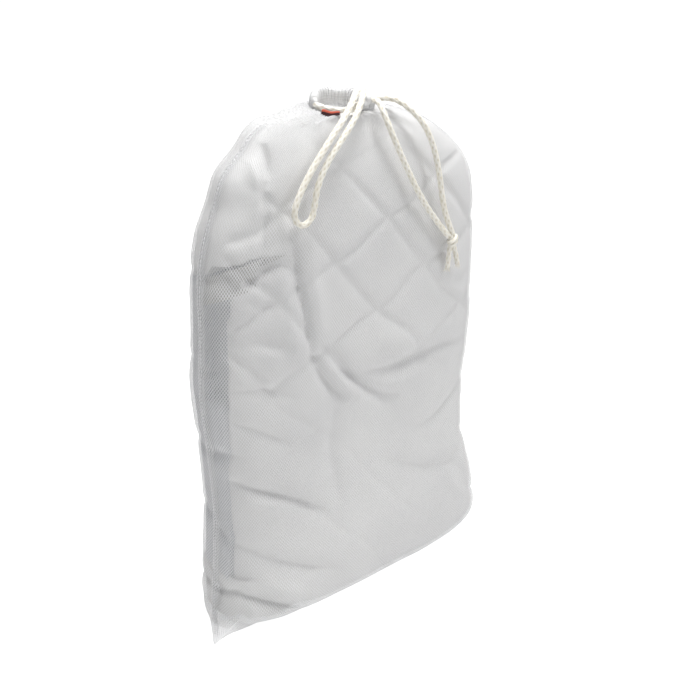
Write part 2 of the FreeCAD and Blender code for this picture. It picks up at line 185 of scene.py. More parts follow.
def mix_colours(tree, factor, first, second):
    node = tree.nodes.new("ShaderNodeMix")
    node.data_type = "RGBA"
    for index, value in ((0, factor), (6, first), (7, second)):
        feed(tree, node.inputs[index], value)
    return node.outputs[2]


def add_bump(tree, shader, height, distance, strength):
    bump = tree.nodes.new("ShaderNodeBump")
    bump.inputs["Distance"].default_value = distance
    bump.inputs["Strength"].default_value = strength
    feed(tree, bump.inputs["Height"], height)
    feed(tree, shader.inputs["Normal"], bump.outputs["Normal"])


def paint(tree, shader, factor, first, second):
    """Mixes two colours by a factor into the shader's base colour."""
    feed(tree, shader.inputs["Base Color"], mix_colours(tree, factor, first, second))


def object_vector(tree):
    return tree.nodes.new("ShaderNodeTexCoord").outputs["Object"]


def split(tree, vector):
    """The X, Y and Z outputs of a vector."""
    parts = tree.nodes.new("ShaderNodeSeparateXYZ")
    feed(tree, parts.inputs[0], vector)
    return parts.outputs


def uv_parts(tree):
    """The two UV coordinates; the net's are in metres of flat cloth, the label's in shares."""
    return split(tree, tree.nodes.new("ShaderNodeTexCoord").outputs["UV"])[:2]


def point_value(tree, name):
    """A value that the mesh stores for each of its points."""
    node = tree.nodes.new("ShaderNodeAttribute")
    node.attribute_name = name
    return node.outputs["Fac"]


def seen_or_lighting(tree, seen, lighting):
    """One strength where the camera sees the surface and another where it lights the bag."""
    is_seen = tree.nodes.new("ShaderNodeLightPath").outputs["Is Camera Ray"]
    return ramp_node(tree, is_seen, 0, 1, lighting, seen)


def floor_material():
    material, tree, shader = new_material("floor_white", (0.86, 0.86, 0.86), 0.7)
    paint(tree, shader, noise_node(tree, object_vector(tree), 90), (0.85, 0.85, 0.85), (0.88, 0.88, 0.88))
    shader.inputs["Emission Color"].default_value = (1, 1, 1, 1)
    feed(tree, shader.inputs["Emission Strength"], seen_or_lighting(tree, 0.8, 0.3))
    return material


def net_material(name, colour, shade, open_share):
    """Warp-knit net: thin yarns on two diagonals leave rounded diamond holes.

    The point attribute "gather" closes the holes where the cloth is gathered, and there it also turns the
    colour to the darker one as painted shade of the pleats.
    """
    material, tree, shader = new_material(name, colour, 0.72, sheen=0.25)
    across, along = uv_parts(tree)
    cells = [math_node(tree, "DIVIDE", across, NET_PITCH_ACROSS),
             math_node(tree, "DIVIDE", along, NET_PITCH_ALONG)]
    diagonals = [math_node(tree, sense, *cells) for sense in ("ADD", "SUBTRACT")]
    waves = [math_node(tree, "COSINE", math_node(tree, "MULTIPLY", line, math.pi)) for line in diagonals]
    depth = math_node(tree, "ABSOLUTE", math_node(tree, "MULTIPLY", *waves))
    place = object_vector(tree)
    gather = point_value(tree, "gather")
    fuzz = math_node(tree, "SUBTRACT", noise_node(tree, place, 900, detail=2), 0.5)
    edge = math_node(tree, "ADD", math_node(tree, "MULTIPLY", gather, 0.4), 1 - open_share)
    edge = math_node(tree, "ADD", edge, math_node(tree, "MULTIPLY", fuzz, 0.14))
    hole = math_node(tree, "SUBTRACT", depth, edge)
    feed(tree, shader.inputs["Alpha"], ramp_node(tree, hole, -0.08, 0.12, YARN_COVER, HOLE_COVER))
    stains = ramp_node(tree, noise_node(tree, place, 9, detail=4), 0.35, 0.7, 0, 1)
    # Painted shade: the gathered cloth takes the darker colour, for the shade in its pleats; the stains vary
    # the colour at random.
    tone = math_node(tree, "MAXIMUM", stains, math_node(tree, "MULTIPLY", gather, 2.2))
    paint(tree, shader, tone, colour, shade)
    yarn = math_node(tree, "SUBTRACT", 1.0, depth)
    twist = math_node(tree, "MULTIPLY", noise_node(tree, place, 2600, detail=1), 0.35)
    add_bump(tree, shader, math_node(tree, "ADD", yarn, twist), 0.0004, 0.7)
    return material


def woven_material(name, colour, shade, thread, relief):
    """Plain woven cloth: crossed ridges a thread apart, with soft tone changes."""
    material, tree, shader = new_material(name, colour, 0.82, sheen=0.15)
    place = object_vector(tree)
    x, y, z = split(tree, place)
    across = math_node(tree, "ADD", x, y)
    turns = [math_node(tree, "MULTIPLY", value, TAU / thread) for value in (across, z)]
    ridges = [math_node(tree, "SINE", turn) for turn in turns]
    weave = math_node(tree, "MULTIPLY", math_node(tree, "MULTIPLY", *ridges), 0.5)
    slub = noise_node(tree, place, 420)
    add_bump(tree, shader, math_node(tree, "ADD", weave, slub), relief, 0.8)
    tone = ramp_node(tree, noise_node(tree, place, 14, detail=5), 0.3, 0.72, 0, 1)
    paint(tree, shader, tone, colour, shade)
    feed(tree, shader.inputs["Roughness"], ramp_node(tree, slub, 0.3, 0.7, 0.74, 0.9))
    return material


def terry_material(name, colour, shade):
    """Towelling: small loops as a cell pattern, with painted shade between them."""
    material, tree, shader = new_material(name, colour, 0.95, sheen=0.4)
    place = object_vector(tree)
    loops = tree.nodes.new("ShaderNodeTexVoronoi")
    loops.inputs["Scale"].default_value = 620
    feed(tree, loops.inputs["Vector"], place)
    away = loops.outputs["Distance"]
    add_bump(tree, shader, math_node(tree, "SUBTRACT", 1.0, away), 0.0012, 0.9)
    patches = ramp_node(tree, noise_node(tree, place, 30, detail=4), 0.3, 0.7, 0.5, 1.0)
    # Painted shade between the loops, mixed with random patches of tone.
    tone = math_node(tree, "MULTIPLY", ramp_node(tree, away, 0.1, 0.75, 0, 1), patches)
    paint(tree, shader, tone, colour, shade)
    return material


def cord_material():
    """Braided cotton: fine yarn lines along each strand, with painted shade in the gaps between strands."""
    material, tree, shader = new_material("cord_cotton", (0.86, 0.83, 0.74), 0.85, sheen=0.35)
    place = object_vector(tree)
    yarn = noise_node(tree, place, 1500)
    dirt = ramp_node(tree, noise_node(tree, place, 60, detail=4), 0.35, 0.7, 0, 1)
    clean = mix_colours(tree, dirt, (0.94, 0.92, 0.86), (0.89, 0.86, 0.775))
    # Painted shade: the colour goes darker and browner where a point lies deep in the gap between strands.
    deep = mix_colours(tree, point_value(tree, "gap"), clean, (0.70, 0.65, 0.53))
    paint(tree, shader, ramp_node(tree, yarn, 0.45, 0.75, 0, 0.5), deep, (0.95, 0.93, 0.88))
    add_bump(tree, shader, yarn, 0.0005, 0.8)
    return material


def thread_material():
    """Sewing thread: a satin white with a fine twist."""
    material, tree, shader = new_material("thread_white", (0.93, 0.93, 0.94), 0.5, sheen=0.2)
    twist = noise_node(tree, object_vector(tree), 3000, detail=1)
    paint(tree, shader, twist, (0.86, 0.86, 0.88), (0.97, 0.97, 0.98))
    add_bump(tree, shader, twist, 0.0002, 0.7)
    return material


def label_material():
    """A near-black satin ribbon with a red selvedge along its top edge; the near-black is painted shade, for
    the deep shadow in the mouth under the cord.
    """
    material, tree, shader = new_material("label_ribbon", (0.03, 0.012, 0.015), 0.45, sheen=0.1)
    edge = ramp_node(tree, uv_parts(tree)[1], 0.62, 0.74, 0, 1)
    ribs = noise_node(tree, object_vector(tree), 1400, detail=2)
    # Painted shade: the near-black body stands for the deep shadow under the cord; the red top edge is the
    # label's own colour.
    colour = mix_colours(tree, edge, (0.03, 0.012, 0.015), (0.62, 0.12, 0.07))
    paint(tree, shader, ramp_node(tree, ribs, 0.4, 0.8, 0, 0.25), colour, (0.3, 0.1, 0.1))
    add_bump(tree, shader, ribs, 0.0003, 0.6)
    return material


MATERIALS = {
    "net": net_material("net_knit", (0.87, 0.875, 0.885), (0.81, 0.815, 0.83), 0.6),
    # The casing's net is coloured whiter than the body's net: painted light, for the light from above on the
    # mouth's hem. Its smaller open share is the double layer.
    "casing": net_material("casing_double_net", (0.96, 0.965, 0.975), (0.91, 0.915, 0.93), 0.34),
    "seam_tape": net_material("seam_double_net", (0.95, 0.955, 0.97), (0.90, 0.905, 0.92), 0.55),
    "thread": thread_material(),
    "cord": cord_material(),
    "label": label_material(),
    "quilt": woven_material("quilt_cotton", (0.94, 0.932, 0.918), (0.875, 0.866, 0.855), 0.0011, 0.00022),
    "sheet": woven_material("sheet_percale", (0.93, 0.925, 0.91), (0.87, 0.865, 0.85), *PERCALE),
    # The towel's blue-grey is painted shade, for the load's pale lower left side lying in shade.
    "towel": terry_material("towel_terry", (0.65, 0.665, 0.705), (0.53, 0.55, 0.60)),
}


# ---------------------------------------------------------------- mesh helpers


def mesh_object(name, points, faces, slot, uvs=None, attributes=None):
    """A smooth mesh piece with the slot's material; uvs and attributes have one value per point."""
    mesh = bpy.data.meshes.new(name)
    mesh.from_pydata(np.asarray(points).tolist(), [], [list(map(int, face)) for face in faces])
    mesh.validate()
    if uvs is not None:
        layer = mesh.uv_layers.new(name="cloth")
        corner = np.zeros(len(mesh.loops), int)
        mesh.loops.foreach_get("vertex_index", corner)
        layer.data.foreach_set("uv", np.asarray(uvs, np.float32)[corner].ravel())
    for key, values in (attributes or {}).items():
        attribute = mesh.attributes.new(key, "FLOAT", "POINT")
        attribute.data.foreach_set("value", np.asarray(values, np.float32))
    mesh.polygons.foreach_set("use_smooth", [True] * len(mesh.polygons))
    mesh.materials.append(MATERIALS[slot])
    piece = bpy.data.objects.new(name, mesh)
    bpy.context.scene.collection.objects.link(piece)
    return piece


def stand_for(piece, node, body="bag"):
    """Shows the piece in place of a CAD node and lets it ride on a body."""
    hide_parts(node)
    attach(piece, body)


def grid_faces(rows, columns, closed=False, first=0):
    """Quads of a grid of points stored row by row; closed joins the last column to the first."""
    faces = []
    span = columns if closed else columns - 1
    for i in range(rows - 1):
        for j in range(span):
            after = (j + 1) % columns
            a = first + i * columns + j
            b = first + i * columns + after
            faces.append((a, b, b + columns, a + columns))
    return faces


def tube_faces(rings, around, first=0):
    """Faces of a closed tube of rings of points, with a polygon over each end."""
    last = first + (rings - 1) * around
    ends = [tuple(first + j for j in reversed(range(around))), tuple(last + j for j in range(around))]
    return grid_faces(rings, around, closed=True, first=first) + ends


def end_fans(rings, around):
    """Triangles that close a tube's ends onto two middle points, stored after its rings."""
    middle, last = rings * around, (rings - 1) * around
    faces = []
    for j in range(around):
        after = (j + 1) % around
        faces += [(middle, after, j), (middle + 1, last + j, last + after)]
    return faces


def mesh_points(piece, key="co"):
    """The piece's points, or with the key "normal" their normals, one row each."""
    values = np.zeros(len(piece.data.vertices) * 3)
    piece.data.vertices.foreach_get(key, values)
    return values.reshape(-1, 3)


def set_points(piece, points):
    piece.data.vertices.foreach_set("co", np.asarray(points, float).ravel())
    piece.data.update()


def smooth_step(value, low, high):
    t = np.clip((value - low) / (high - low), 0, 1)
    return t * t * (3 - 2 * t)


def signed_power(value, power):
    """The value's size to a power, with the value's own sign."""
    return np.sign(value) * np.abs(value) ** power


def run_along(line):
    """Distance along a line of points up to each of them."""
    return np.concatenate([[0], np.cumsum(np.linalg.norm(np.diff(line, axis=0), axis=1))])


def points_along(line, run, places):
    """The line's points at given distances along it."""
    return np.stack([np.interp(places, run, line[:, i]) for i in range(3)], axis=1)


def value_noise(points, size, seed):
    """Smooth noise from -1 to 1 over 3-D points, with features of the given size."""
    draws = np.random.default_rng(seed)
    total = np.zeros(len(points))
    for _ in range(7):
        direction = draws.normal(size=3)
        direction /= np.linalg.norm(direction)
        pace = TAU / (size * draws.uniform(0.8, 1.9))
        total += np.sin(points @ direction * pace + draws.uniform(0, TAU))
    return total / 3.5


def curve_through(keys, count):
    """Points of a smooth curve through key rows (Catmull-Rom), spread evenly by key distance."""
    keys = np.asarray(keys, float)
    steps = np.maximum(np.linalg.norm(np.diff(keys[:, :4], axis=0), axis=1), 1e-6)
    knots = np.concatenate([[0], np.cumsum(steps)])
    slopes = np.zeros_like(keys)
    slopes[1:-1] = (keys[2:] - keys[:-2]) / (knots[2:] - knots[:-2])[:, None]
    slopes[0] = (keys[1] - keys[0]) / steps[0]
    slopes[-1] = (keys[-1] - keys[-2]) / steps[-1]
    places = np.linspace(0, knots[-1], count)
    index = np.clip(np.searchsorted(knots, places, side="right") - 1, 0, len(steps) - 1)
    span = steps[index][:, None]
    t = ((places - knots[index]) / steps[index])[:, None]
    start, end = keys[index], keys[index + 1]
    bend_in, bend_out = slopes[index] * span, slopes[index + 1] * span
    return ((2 * t**3 - 3 * t**2 + 1) * start + (t**3 - 2 * t**2 + t) * bend_in
            + (3 * t**2 - 2 * t**3) * end + (t**3 - t**2) * bend_out), places


# ---------------------------------------------------------------- shape of the bag

# Sections from the bottom seam up to the neck, in millimetres: height, reach to the right, to the
# left, to the front and to the back, and how square the section is.
SECTIONS = [
    (0.8, 152, 156, 0.4, 0.4, 3.0), (0.6, 160, 162, 26, 22, 3.1), (0.8, 166, 168, 50, 42, 3.3),
    (5, 174, 174, 61, 51, 3.5), (18, 184, 177, 65, 55, 3.5), (60, 180, 173, 60, 56, 3.5),
    (130, 161, 168, 54, 54, 3.6), (200, 159, 171, 53, 53, 3.5), (265, 164, 175, 52, 52, 3.5),
    (330, 165, 171, 50, 50, 3.4), (385, 167, 169, 47, 48, 3.3), (420, 164, 161, 45, 47, 3.2),
    (445, 157, 150, 43, 47, 3.0), (470, 136, 140, 40, 46, 2.8), (492, 106, 118, 35, 44, 2.6),
    (506, 72, 104, 30, 41, 2.4), (514, 47, 88, 27, 38, 2.1), (518, 34, 64, 26, 34, 2.0),
]
MOUTH = mm((-8, 0, 520))
RING_RADIUS = 21 * MM
RING_TILT = math.radians(8)
NECK_RADIUS = 25 * MM
FLAT_WIDTH = 0.42
FLAT_HEIGHT = 0.62
# The two lower corners: where the tip is, how far up the cloth it pulls, and how pointed it is.
CORNER_TIPS = [(mm((-205, -46, 3)), 84 * MM, 1.0), (mm((197, -14, 3)), 50 * MM, 0.9)]


def ring_point(angle, radius, height):
    """A point round the mouth: angle counterclockwise from +X seen from above, on the tilted ring."""
    x = np.cos(angle) * radius
    y = np.sin(angle) * radius * math.cos(RING_TILT) - height * math.sin(RING_TILT)
    z = np.sin(angle) * radius * math.sin(RING_TILT) + height * math.cos(RING_TILT)
    return MOUTH + np.stack([x, y, z + 0 * x], axis=-1)


def half_section(right, left, reach, power, columns):
    """Half a rounded section in front of the Y = 0 plane, evenly spaced from left seam to right."""
    turn = np.linspace(math.pi, TAU, 700)
    wide = signed_power(np.cos(turn), 2 / power)
    x = np.where(wide > 0, wide * right, wide * left)
    y = -np.abs(np.sin(turn)) ** (2 / power) * reach
    run = np.concatenate([[0], np.cumsum(np.hypot(np.diff(x), np.diff(y)))])
    even = np.linspace(0, run[-1], columns)
    return np.interp(even, run, x), np.interp(even, run, y), run[-1]


def section_at(height):
    """The wall's reach to the right, left, front and back, and its squareness, at given heights."""
    keys = np.asarray(SECTIONS[3:])
    return [np.interp(height, keys[:, 0], keys[:, i]) for i in range(1, 6)]


def panel_grid(front, rows, columns):
    """Rest shape of one net panel before its creases: points, cloth coordinates and gathering."""
    table, run = curve_through(SECTIONS, rows)
    points = np.zeros((rows, columns, 3))
    gather = np.zeros((rows, columns))
    for i, (z, right, left, ahead, behind, power) in enumerate(table):
        x, y, length = half_section(right, left, max(ahead if front else behind, 0.3), power, columns)
        points[i, :, 0] = x
        points[i, :, 1] = y if front else -y
        points[i, :, 2] = z
        gather[i] = np.clip(1 - length * MM / FLAT_WIDTH, 0, 1)
    points *= MM
    angles = np.linspace(math.pi, TAU, columns) if front else np.linspace(math.pi, 0, columns)
    ring = ring_point(angles, NECK_RADIUS, -4 * MM)
    joined = smooth_step(points[:, :1, 2], 0.5115, 0.518)[..., None] * np.ones((1, columns, 1))
    points = points * (1 - joined) + ring[None] * joined
    u = np.linspace(0, FLAT_WIDTH, columns)[None].repeat(rows, 0)
    v = (run / run[-1] * FLAT_HEIGHT)[:, None].repeat(columns, 1)
    return points, u, v, gather


def pull_corners(points, u, v):
    """Pulls the two lower corners of a panel out into the pointed tips of a sewn corner."""
    for tip, reach, power in CORNER_TIPS:
        along, corner = (u, points[0, 0]) if tip[0] < 0 else (FLAT_WIDTH - u, points[0, -1])
        away = np.hypot(along, v * 1.15)
        pull = np.clip(1 - away / reach, 0, 1) ** power
        points = points + (tip - corner) * pull[..., None]
    return points


CREASE_GAIN = 1.6
CREASE_SHARPNESS = 1.6
# Creases as lines across the wall, in millimetres: depth, half width, then points (across, up).
# A depth above 0 is a valley; below 0 a ridge. Front and back ones are in (x, z).
FRONT_CREASES = [
    (4.6, 3.8, [(-94, 424), (-90, 400), (-86, 365), (-81, 335), (-77, 305), (-72, 283)]),
    (-2.2, 9, [(-106, 410), (-102, 360), (-97, 320), (-92, 292)]),
    (-2.0, 8, [(-73, 400), (-70, 360), (-66, 325), (-60, 300)]),
    (5.0, 6, [(-74, 298), (-66, 274), (-52, 250), (-34, 232)]),
    (4.5, 6, [(-62, 306), (-40, 270), (-10, 240), (16, 223), (34, 216)]),
    (-2.5, 7, [(-60, 286), (-38, 258), (-14, 236)]),
    (3.2, 5, [(-163, 372), (-148, 377), (-130, 384), (-112, 393), (-100, 390), (-88, 382)]),
    (2.8, 5, [(-112, 470), (-115, 445), (-117, 424), (-122, 404), (-128, 388)]),
    (-2.2, 5, [(-120, 494), (-119, 474), (-121, 452), (-126, 434)]),
    (2.6, 4, [(-104, 500), (-106, 480), (-110, 462)]),
    (2.0, 4, [(-162, 397), (-156, 386), (-149, 378)]),
    (3.2, 8, [(-166, 322), (-134, 320), (-96, 306)]),
    (-1.8, 8, [(-156, 330), (-132, 314), (-110, 302)]),
    (1.6, 4, [(-140, 362), (-128, 357), (-116, 358)]),
    (3.4, 8, [(-48, 266), (-20, 258), (14, 253), (49, 252), (99, 256), (128, 250), (158, 254)]),
    (-1.8, 12, [(-8, 246), (20, 236), (60, 230), (110, 232)]),
    (-2.0, 12, [(0, 292), (30, 280), (70, 276), (120, 282)]),
    (4.4, 5, [(-170, 178), (-144, 163), (-100, 138), (-60, 110)]),
    (-2.0, 7, [(-160, 158), (-130, 146), (-100, 132)]),
    (3.4, 6, [(-168, 106), (-144, 86), (-97, 58), (-50, 36)]),
    (3.2, 6, [(-168, 246), (-134, 226), (-104, 206)]),
    (3.0, 6, [(-168, 276), (-130, 271), (-94, 254)]),
    (2.8, 8, [(-52, 246), (-51, 214), (-56, 180), (-50, 146), (-42, 108)]),
    (5.0, 4.5, [(-176, 46), (-158, 38), (-142, 29), (-120, 17), (-96, 6)]),
    (-2.6, 7, [(-150, 62), (-124, 42), (-96, 26)]),
    (2.6, 8, [(128, 112), (142, 82), (158, 48), (168, 22)]),
    (-1.8, 8, [(112, 96), (128, 66), (146, 34)]),
    (1.8, 6, [(150, 330), (132, 322), (112, 326)]),
    (2.6, 7, [(158, 200), (128, 190), (92, 172), (60, 166)]),
    (2.8, 8, [(10, 150), (46, 128), (90, 108), (122, 100), (150, 108)]),
]
BACK_CREASES = [
    (4.5, 8, [(60, 430), (52, 380), (40, 330), (44, 280), (30, 230)]),
    (4.0, 7, [(-120, 330), (-80, 300), (-40, 292), (0, 276)]),
    (4.0, 10, [(150, 240), (110, 232), (60, 242), (10, 232), (-40, 238)]),
    (3.4, 6, [(160, 160), (130, 148), (100, 130), (70, 118)]),
    (3.2, 6, [(-160, 130), (-120, 112), (-84, 92), (-50, 70)]),
    (3.0, 6, [(-150, 220), (-120, 206), (-96, 184)]),
    (3.2, 5, [(164, 66), (140, 42), (112, 20)]),
    (3.2, 5, [(-166, 70), (-142, 44), (-112, 20)]),
    (2.6, 6, [(150, 380), (120, 368), (96, 350)]),
    (2.2, 8, [(0, 200), (-8, 150), (4, 100)]),
]
# Side creases are in (y, z).
SIDE_CREASES = [
    (2.6, 6, [(-40, 396), (-10, 380), (24, 384), (46, 376)]),
    (2.2, 6, [(-38, 300), (0, 290), (40, 300)]),
    (2.6, 7, [(-40, 214), (-8, 200), (30, 206), (50, 196)]),
    (2.4, 6, [(-46, 130), (-6, 118), (34, 96)]),
    (4.2, 4.5, [(-50, 42), (-20, 36), (13, 38), (44, 50)]),
]


def crease_relief(creases, across, up):
    """Sum of the creases' relief at points of the wall, in metres; tapers at each crease's ends."""
    relief = np.zeros(len(across))
    place = np.stack([across, up], axis=1)
    for depth, width, line in creases:
        keys = np.zeros((len(line), 4))
        keys[:, :2] = mm(line)
        track, _ = curve_through(keys, 44)
        track = track[:, :2]
        low, high = track.min(0) - 3 * width * MM, track.max(0) + 3 * width * MM
        near = np.flatnonzero(((place > low) & (place < high)).all(1))
        if not len(near):
            continue
        gaps = np.linalg.norm(place[near, None] - track[None], axis=2)
        best = gaps.argmin(1)
        taper = np.sin(np.pi * np.clip(best / (len(track) - 1), 0.001, 0.999)) ** 0.55
        shape = np.exp(-(gaps[np.arange(len(near)), best] / (width * MM)) ** CREASE_SHARPNESS)
        relief[near] -= depth * CREASE_GAIN * MM * shape * taper
    return relief


# The quilting's diamond lattice on the pad, in millimetres in (x, z).
QUILT_START = mm((22, 411))
QUILT_FALLING = mm((54, -59))
QUILT_RISING = mm((67, 28))


def quilt_line_gap(across, up):
    """Distance to the nearest line of quilting, in metres; the worn pad's lines wander a little."""
    flat = np.stack([across, 0 * across, up], axis=1)
    across = across + value_noise(flat, 0.09, 11) * 5 * MM
    up = up + value_noise(flat, 0.07, 12) * 6 * MM
    lattice = np.stack([QUILT_FALLING, QUILT_RISING], axis=1)
    places = np.linalg.inv(lattice) @ np.stack([across - QUILT_START[0], up - QUILT_START[1]])
    area = abs(np.linalg.det(lattice))
    gap_falling = np.abs(places[1] - np.round(places[1])) * area / np.linalg.norm(QUILT_FALLING)
    gap_rising = np.abs(places[0] - np.round(places[0])) * area / np.linalg.norm(QUILT_RISING)
    return np.minimum(gap_falling, gap_rising)


def quilt_line_depth(up):
    """How deep the lines are: deepest in the upper half, where the pad is least stretched."""
    return 0.4 + 0.75 * smooth_step(up, 0.2, 0.32)


def wall_relief(points, normals):
    """Creases on all four sides, weighted by which way the wall faces, and broad unevenness."""
    x, y, z = points.T
    facing_front = smooth_step(-normals[:, 1], 0.25, 0.75)
    facing_back = smooth_step(normals[:, 1], 0.25, 0.75)
    facing_side = smooth_step(np.abs(normals[:, 0]), 0.35, 0.85)
    relief = crease_relief(FRONT_CREASES, x, z) * facing_front
    relief += crease_relief(BACK_CREASES, x, z) * facing_back
    flip = np.where(x > 0, 1, -1)
    relief += crease_relief(SIDE_CREASES, y * flip, z) * facing_side
    relief += value_noise(points, 0.11, 3) * 0.9 * MM * smooth_step(z, 0.01, 0.05)
    relief += value_noise(points * np.array([1, 1, 1.7]), 0.045, 5) * 0.35 * MM
    return relief


# ---------------------------------------------------------------- net panels

PANEL_ROWS = 250
PANEL_COLUMNS = 190
SEAM_COLUMNS = 5
PLEATS = 15
LONG_FOLDS = 5


def pleat_relief(u, v):
    """Folds that fan out from the mouth: fine pleats at the neck and a few long, uneven ones below."""
    top = smooth_step(v, FLAT_HEIGHT - 0.06, FLAT_HEIGHT)
    turn = TAU * u / FLAT_WIDTH
    wander = 1.3 * np.sin(2.3 * turn + 1.0) + 6.0 * (v - FLAT_HEIGHT)
    fine = np.sin(PLEATS * turn + wander)
    folds = 1.7 * MM * top**1.6 * (1 - np.abs(fine) ** 1.3) * np.sign(fine + 1.2)
    long_phase = LONG_FOLDS * turn + 2.1 * np.sin(turn) + 1.2 * np.sin(2.7 * turn)
    below_neck = smooth_step(v, FLAT_HEIGHT - 0.13, FLAT_HEIGHT - 0.03) * (1 - top**3)
    return folds + 1.9 * MM * below_neck * np.cos(long_phase)


def grid_normals(points, outward):
    """Normals of a grid by its differences; outward is +1 or -1 for the grid's sense."""
    along = np.gradient(points, axis=1)
    up = np.gradient(points, axis=0)
    normals = np.cross(along, up) * outward
    return normals / np.maximum(np.linalg.norm(normals, axis=-1, keepdims=True), 1e-9)


def edge_rest(u, v):
    """Share of the relief that is left near a panel's seams, where both panels have to meet."""
    side = np.minimum(u, FLAT_WIDTH - u)
    return smooth_step(side, 0.0, 0.012) * smooth_step(v, 0.0, 0.02)


def net_surface(front):
    """The finished points of a net panel, with its cloth coordinates and gathering."""
    points, u, v, gather = panel_grid(front, PANEL_ROWS, PANEL_COLUMNS)
    normals = grid_normals(points, 1 if front else -1)
    flat_points, flat_normals = points.reshape(-1, 3), normals.reshape(-1, 3)
    relief = wall_relief(flat_points, flat_normals).reshape(u.shape)
    quilting = quilt_line_gap(flat_points[:, 0], flat_points[:, 2]).reshape(u.shape)
    faces_out = smooth_step(np.abs(normals[..., 1]), 0.6, 0.9)
    on_load = smooth_step(points[..., 2], 0.03, 0.08) * (1 - smooth_step(points[..., 2], 0.44, 0.49))
    sunk = 2.2 * MM * quilt_line_depth(points[..., 2])
    relief -= sunk * np.exp(-(quilting / (5 * MM)) ** 2) * faces_out * on_load
    relief = (relief + pleat_relief(u, v)) * edge_rest(u, v)
    points = points + normals * relief[..., None]
    points = pull_corners(points, u, v)
    points[..., 2] = np.maximum(points[..., 2], 0.5 * MM)
    return points, u, v, gather


def net_panel(front):
    """One net panel, with the place of each of its grid points for the pieces that follow it."""
    points, u, v, gather = net_surface(front)
    faces = grid_faces(PANEL_ROWS, PANEL_COLUMNS)
    if not front:
        faces = [face[::-1] for face in faces]
    side = "front" if front else "back"
    uvs = np.stack([u.ravel(), v.ravel()], axis=1)
    # The gather closes the holes and also darkens the net's colour there: painted shade in the gathered
    # pleats.
    closed = np.clip((gather.ravel() - 0.2) * 1.1, 0, 1)
    piece = mesh_object(f"{side}_net", points.reshape(-1, 3), faces, "net", uvs, {"gather": closed})
    stand_for(piece, f"{side}_net_panel")
    return piece, points


# ---------------------------------------------------------------- cords

BIGHT_ROUTE = mm([
    (6, -14, 533), (-7, -27, 531), (-26, -39, 519), (-49, -46, 502), (-71, -49, 481), (-88, -51, 460),
    (-96, -52, 445), (-95, -52, 434), (-86, -52, 428), (-76, -52, 434), (-73, -52, 446), (-69, -51, 463),
    (-56, -49, 482), (-38, -47, 499), (-18, -42, 515), (0, -31, 530), (14, -14, 533),
])
END_A_ROUTE = mm([
    (22, -16, 523), (20, -29, 525), (17, -40, 516), (21, -48, 497), (37, -50, 465),
    (57, -51.5, 430), (76, -52.5, 404), (97, -53, 381),
])
END_B_ROUTE = mm([
    (29, -16, 523), (38, -25, 525), (48, -37, 518), (62, -45.5, 502), (71, -48, 486),
    (78, -49.5, 467), (83, -51, 445), (87, -52, 421), (93, -52.5, 401), (102, -53, 383),
])
TAIL_A_ROUTE = mm([(100, -53, 371), (99, -52.5, 360), (98, -52.5, 346)])
TAIL_B_ROUTE = mm([(104, -53, 371), (109, -52.5, 361), (112, -52.5, 347)])
CORD_RADIUS = 3 * MM
STRANDS = 4
BRAID_PITCH = 9.5 * MM
RING_STEP = 0.5 * MM
CORD_SIDES = 28
KNOT_TURNS = 2.25
FRAY_YARNS = 26
FRAY_LENGTH = 5.5 * MM


def spline_line(route):
    """Evenly spaced points on the NURBS spline that has the route's points as control points."""
    curve = bpy.data.curves.new("route", "CURVE")
    curve.dimensions = "3D"
    curve.resolution_u = 24
    spline = curve.splines.new("NURBS")
    spline.points.add(len(route) - 1)
    for point, place in zip(spline.points, route):
        point.co = (*place, 1)
    spline.order_u = 3
    spline.use_endpoint_u = True
    holder = bpy.data.objects.new("route", curve)
    bpy.context.scene.collection.objects.link(holder)
    bpy.context.view_layer.update()
    mesh = bpy.data.meshes.new_from_object(holder.evaluated_get(bpy.context.evaluated_depsgraph_get()))
    line = np.array([vertex.co for vertex in mesh.vertices], float)
    bpy.data.objects.remove(holder)
    bpy.data.curves.remove(curve)
    bpy.data.meshes.remove(mesh)
    run = run_along(line)
    even = np.linspace(0, run[-1], max(int(run[-1] / RING_STEP), 8) + 1)
    return points_along(line, run, even), run[-1]


def carried_frames(line):
    """Two unit vectors across the line at each point, carried along it without twist."""
    tangents = np.gradient(line, axis=0)
    tangents /= np.linalg.norm(tangents, axis=1)[:, None]
    side = np.cross(tangents[0], (0, 1, 0.2))
    sides = []
    for tangent in tangents:
        side = side - tangent * (side @ tangent)
        side /= np.linalg.norm(side)
        sides.append(side)
    sides = np.array(sides)
    return sides, np.cross(tangents, sides)


def braid_tube(name, route, radius=CORD_RADIUS, taper_end=False):
    """A braided cord along a route: two sets of strands wind opposite ways and weave."""
    line, length = spline_line(route)
    sides, others = carried_frames(line)
    rings = len(line)
    run = np.linspace(0, length, rings)[:, None]
    theta = np.linspace(0, TAU, CORD_SIDES, endpoint=False)[None]
    one_way = STRANDS * theta + TAU * run / BRAID_PITCH
    other_way = STRANDS * theta - TAU * run / BRAID_PITCH
    weave = np.cos(one_way / 2) * np.cos(other_way / 2)
    high = np.maximum(np.cos(one_way) * 0.5 + 0.45 * weave, np.cos(other_way) * 0.5 - 0.45 * weave)
    level = np.clip((high + 0.3) / 1.1, 0, 1) ** 0.8
    thick = radius * (0.82 + 0.2 * level)
    if taper_end:
        thick = thick * (1 - 0.25 * smooth_step(run, length - 2.5 * MM, length))
    points = (line[:, None] + sides[:, None] * (np.cos(theta) * thick)[..., None]
              + others[:, None] * (np.sin(theta) * thick)[..., None])
    points = np.vstack([points.reshape(-1, 3), line[0], line[-1]])
    # gap: how deep each point lies between strands; the cord's material paints shade there.
    gap = np.append((1 - level).ravel() ** 2, (0.5, 0.5))
    faces = grid_faces(rings, CORD_SIDES, closed=True) + end_fans(rings, CORD_SIDES)
    piece = mesh_object(name, points, faces, "cord", attributes={"gap": gap})
    return piece, line, length


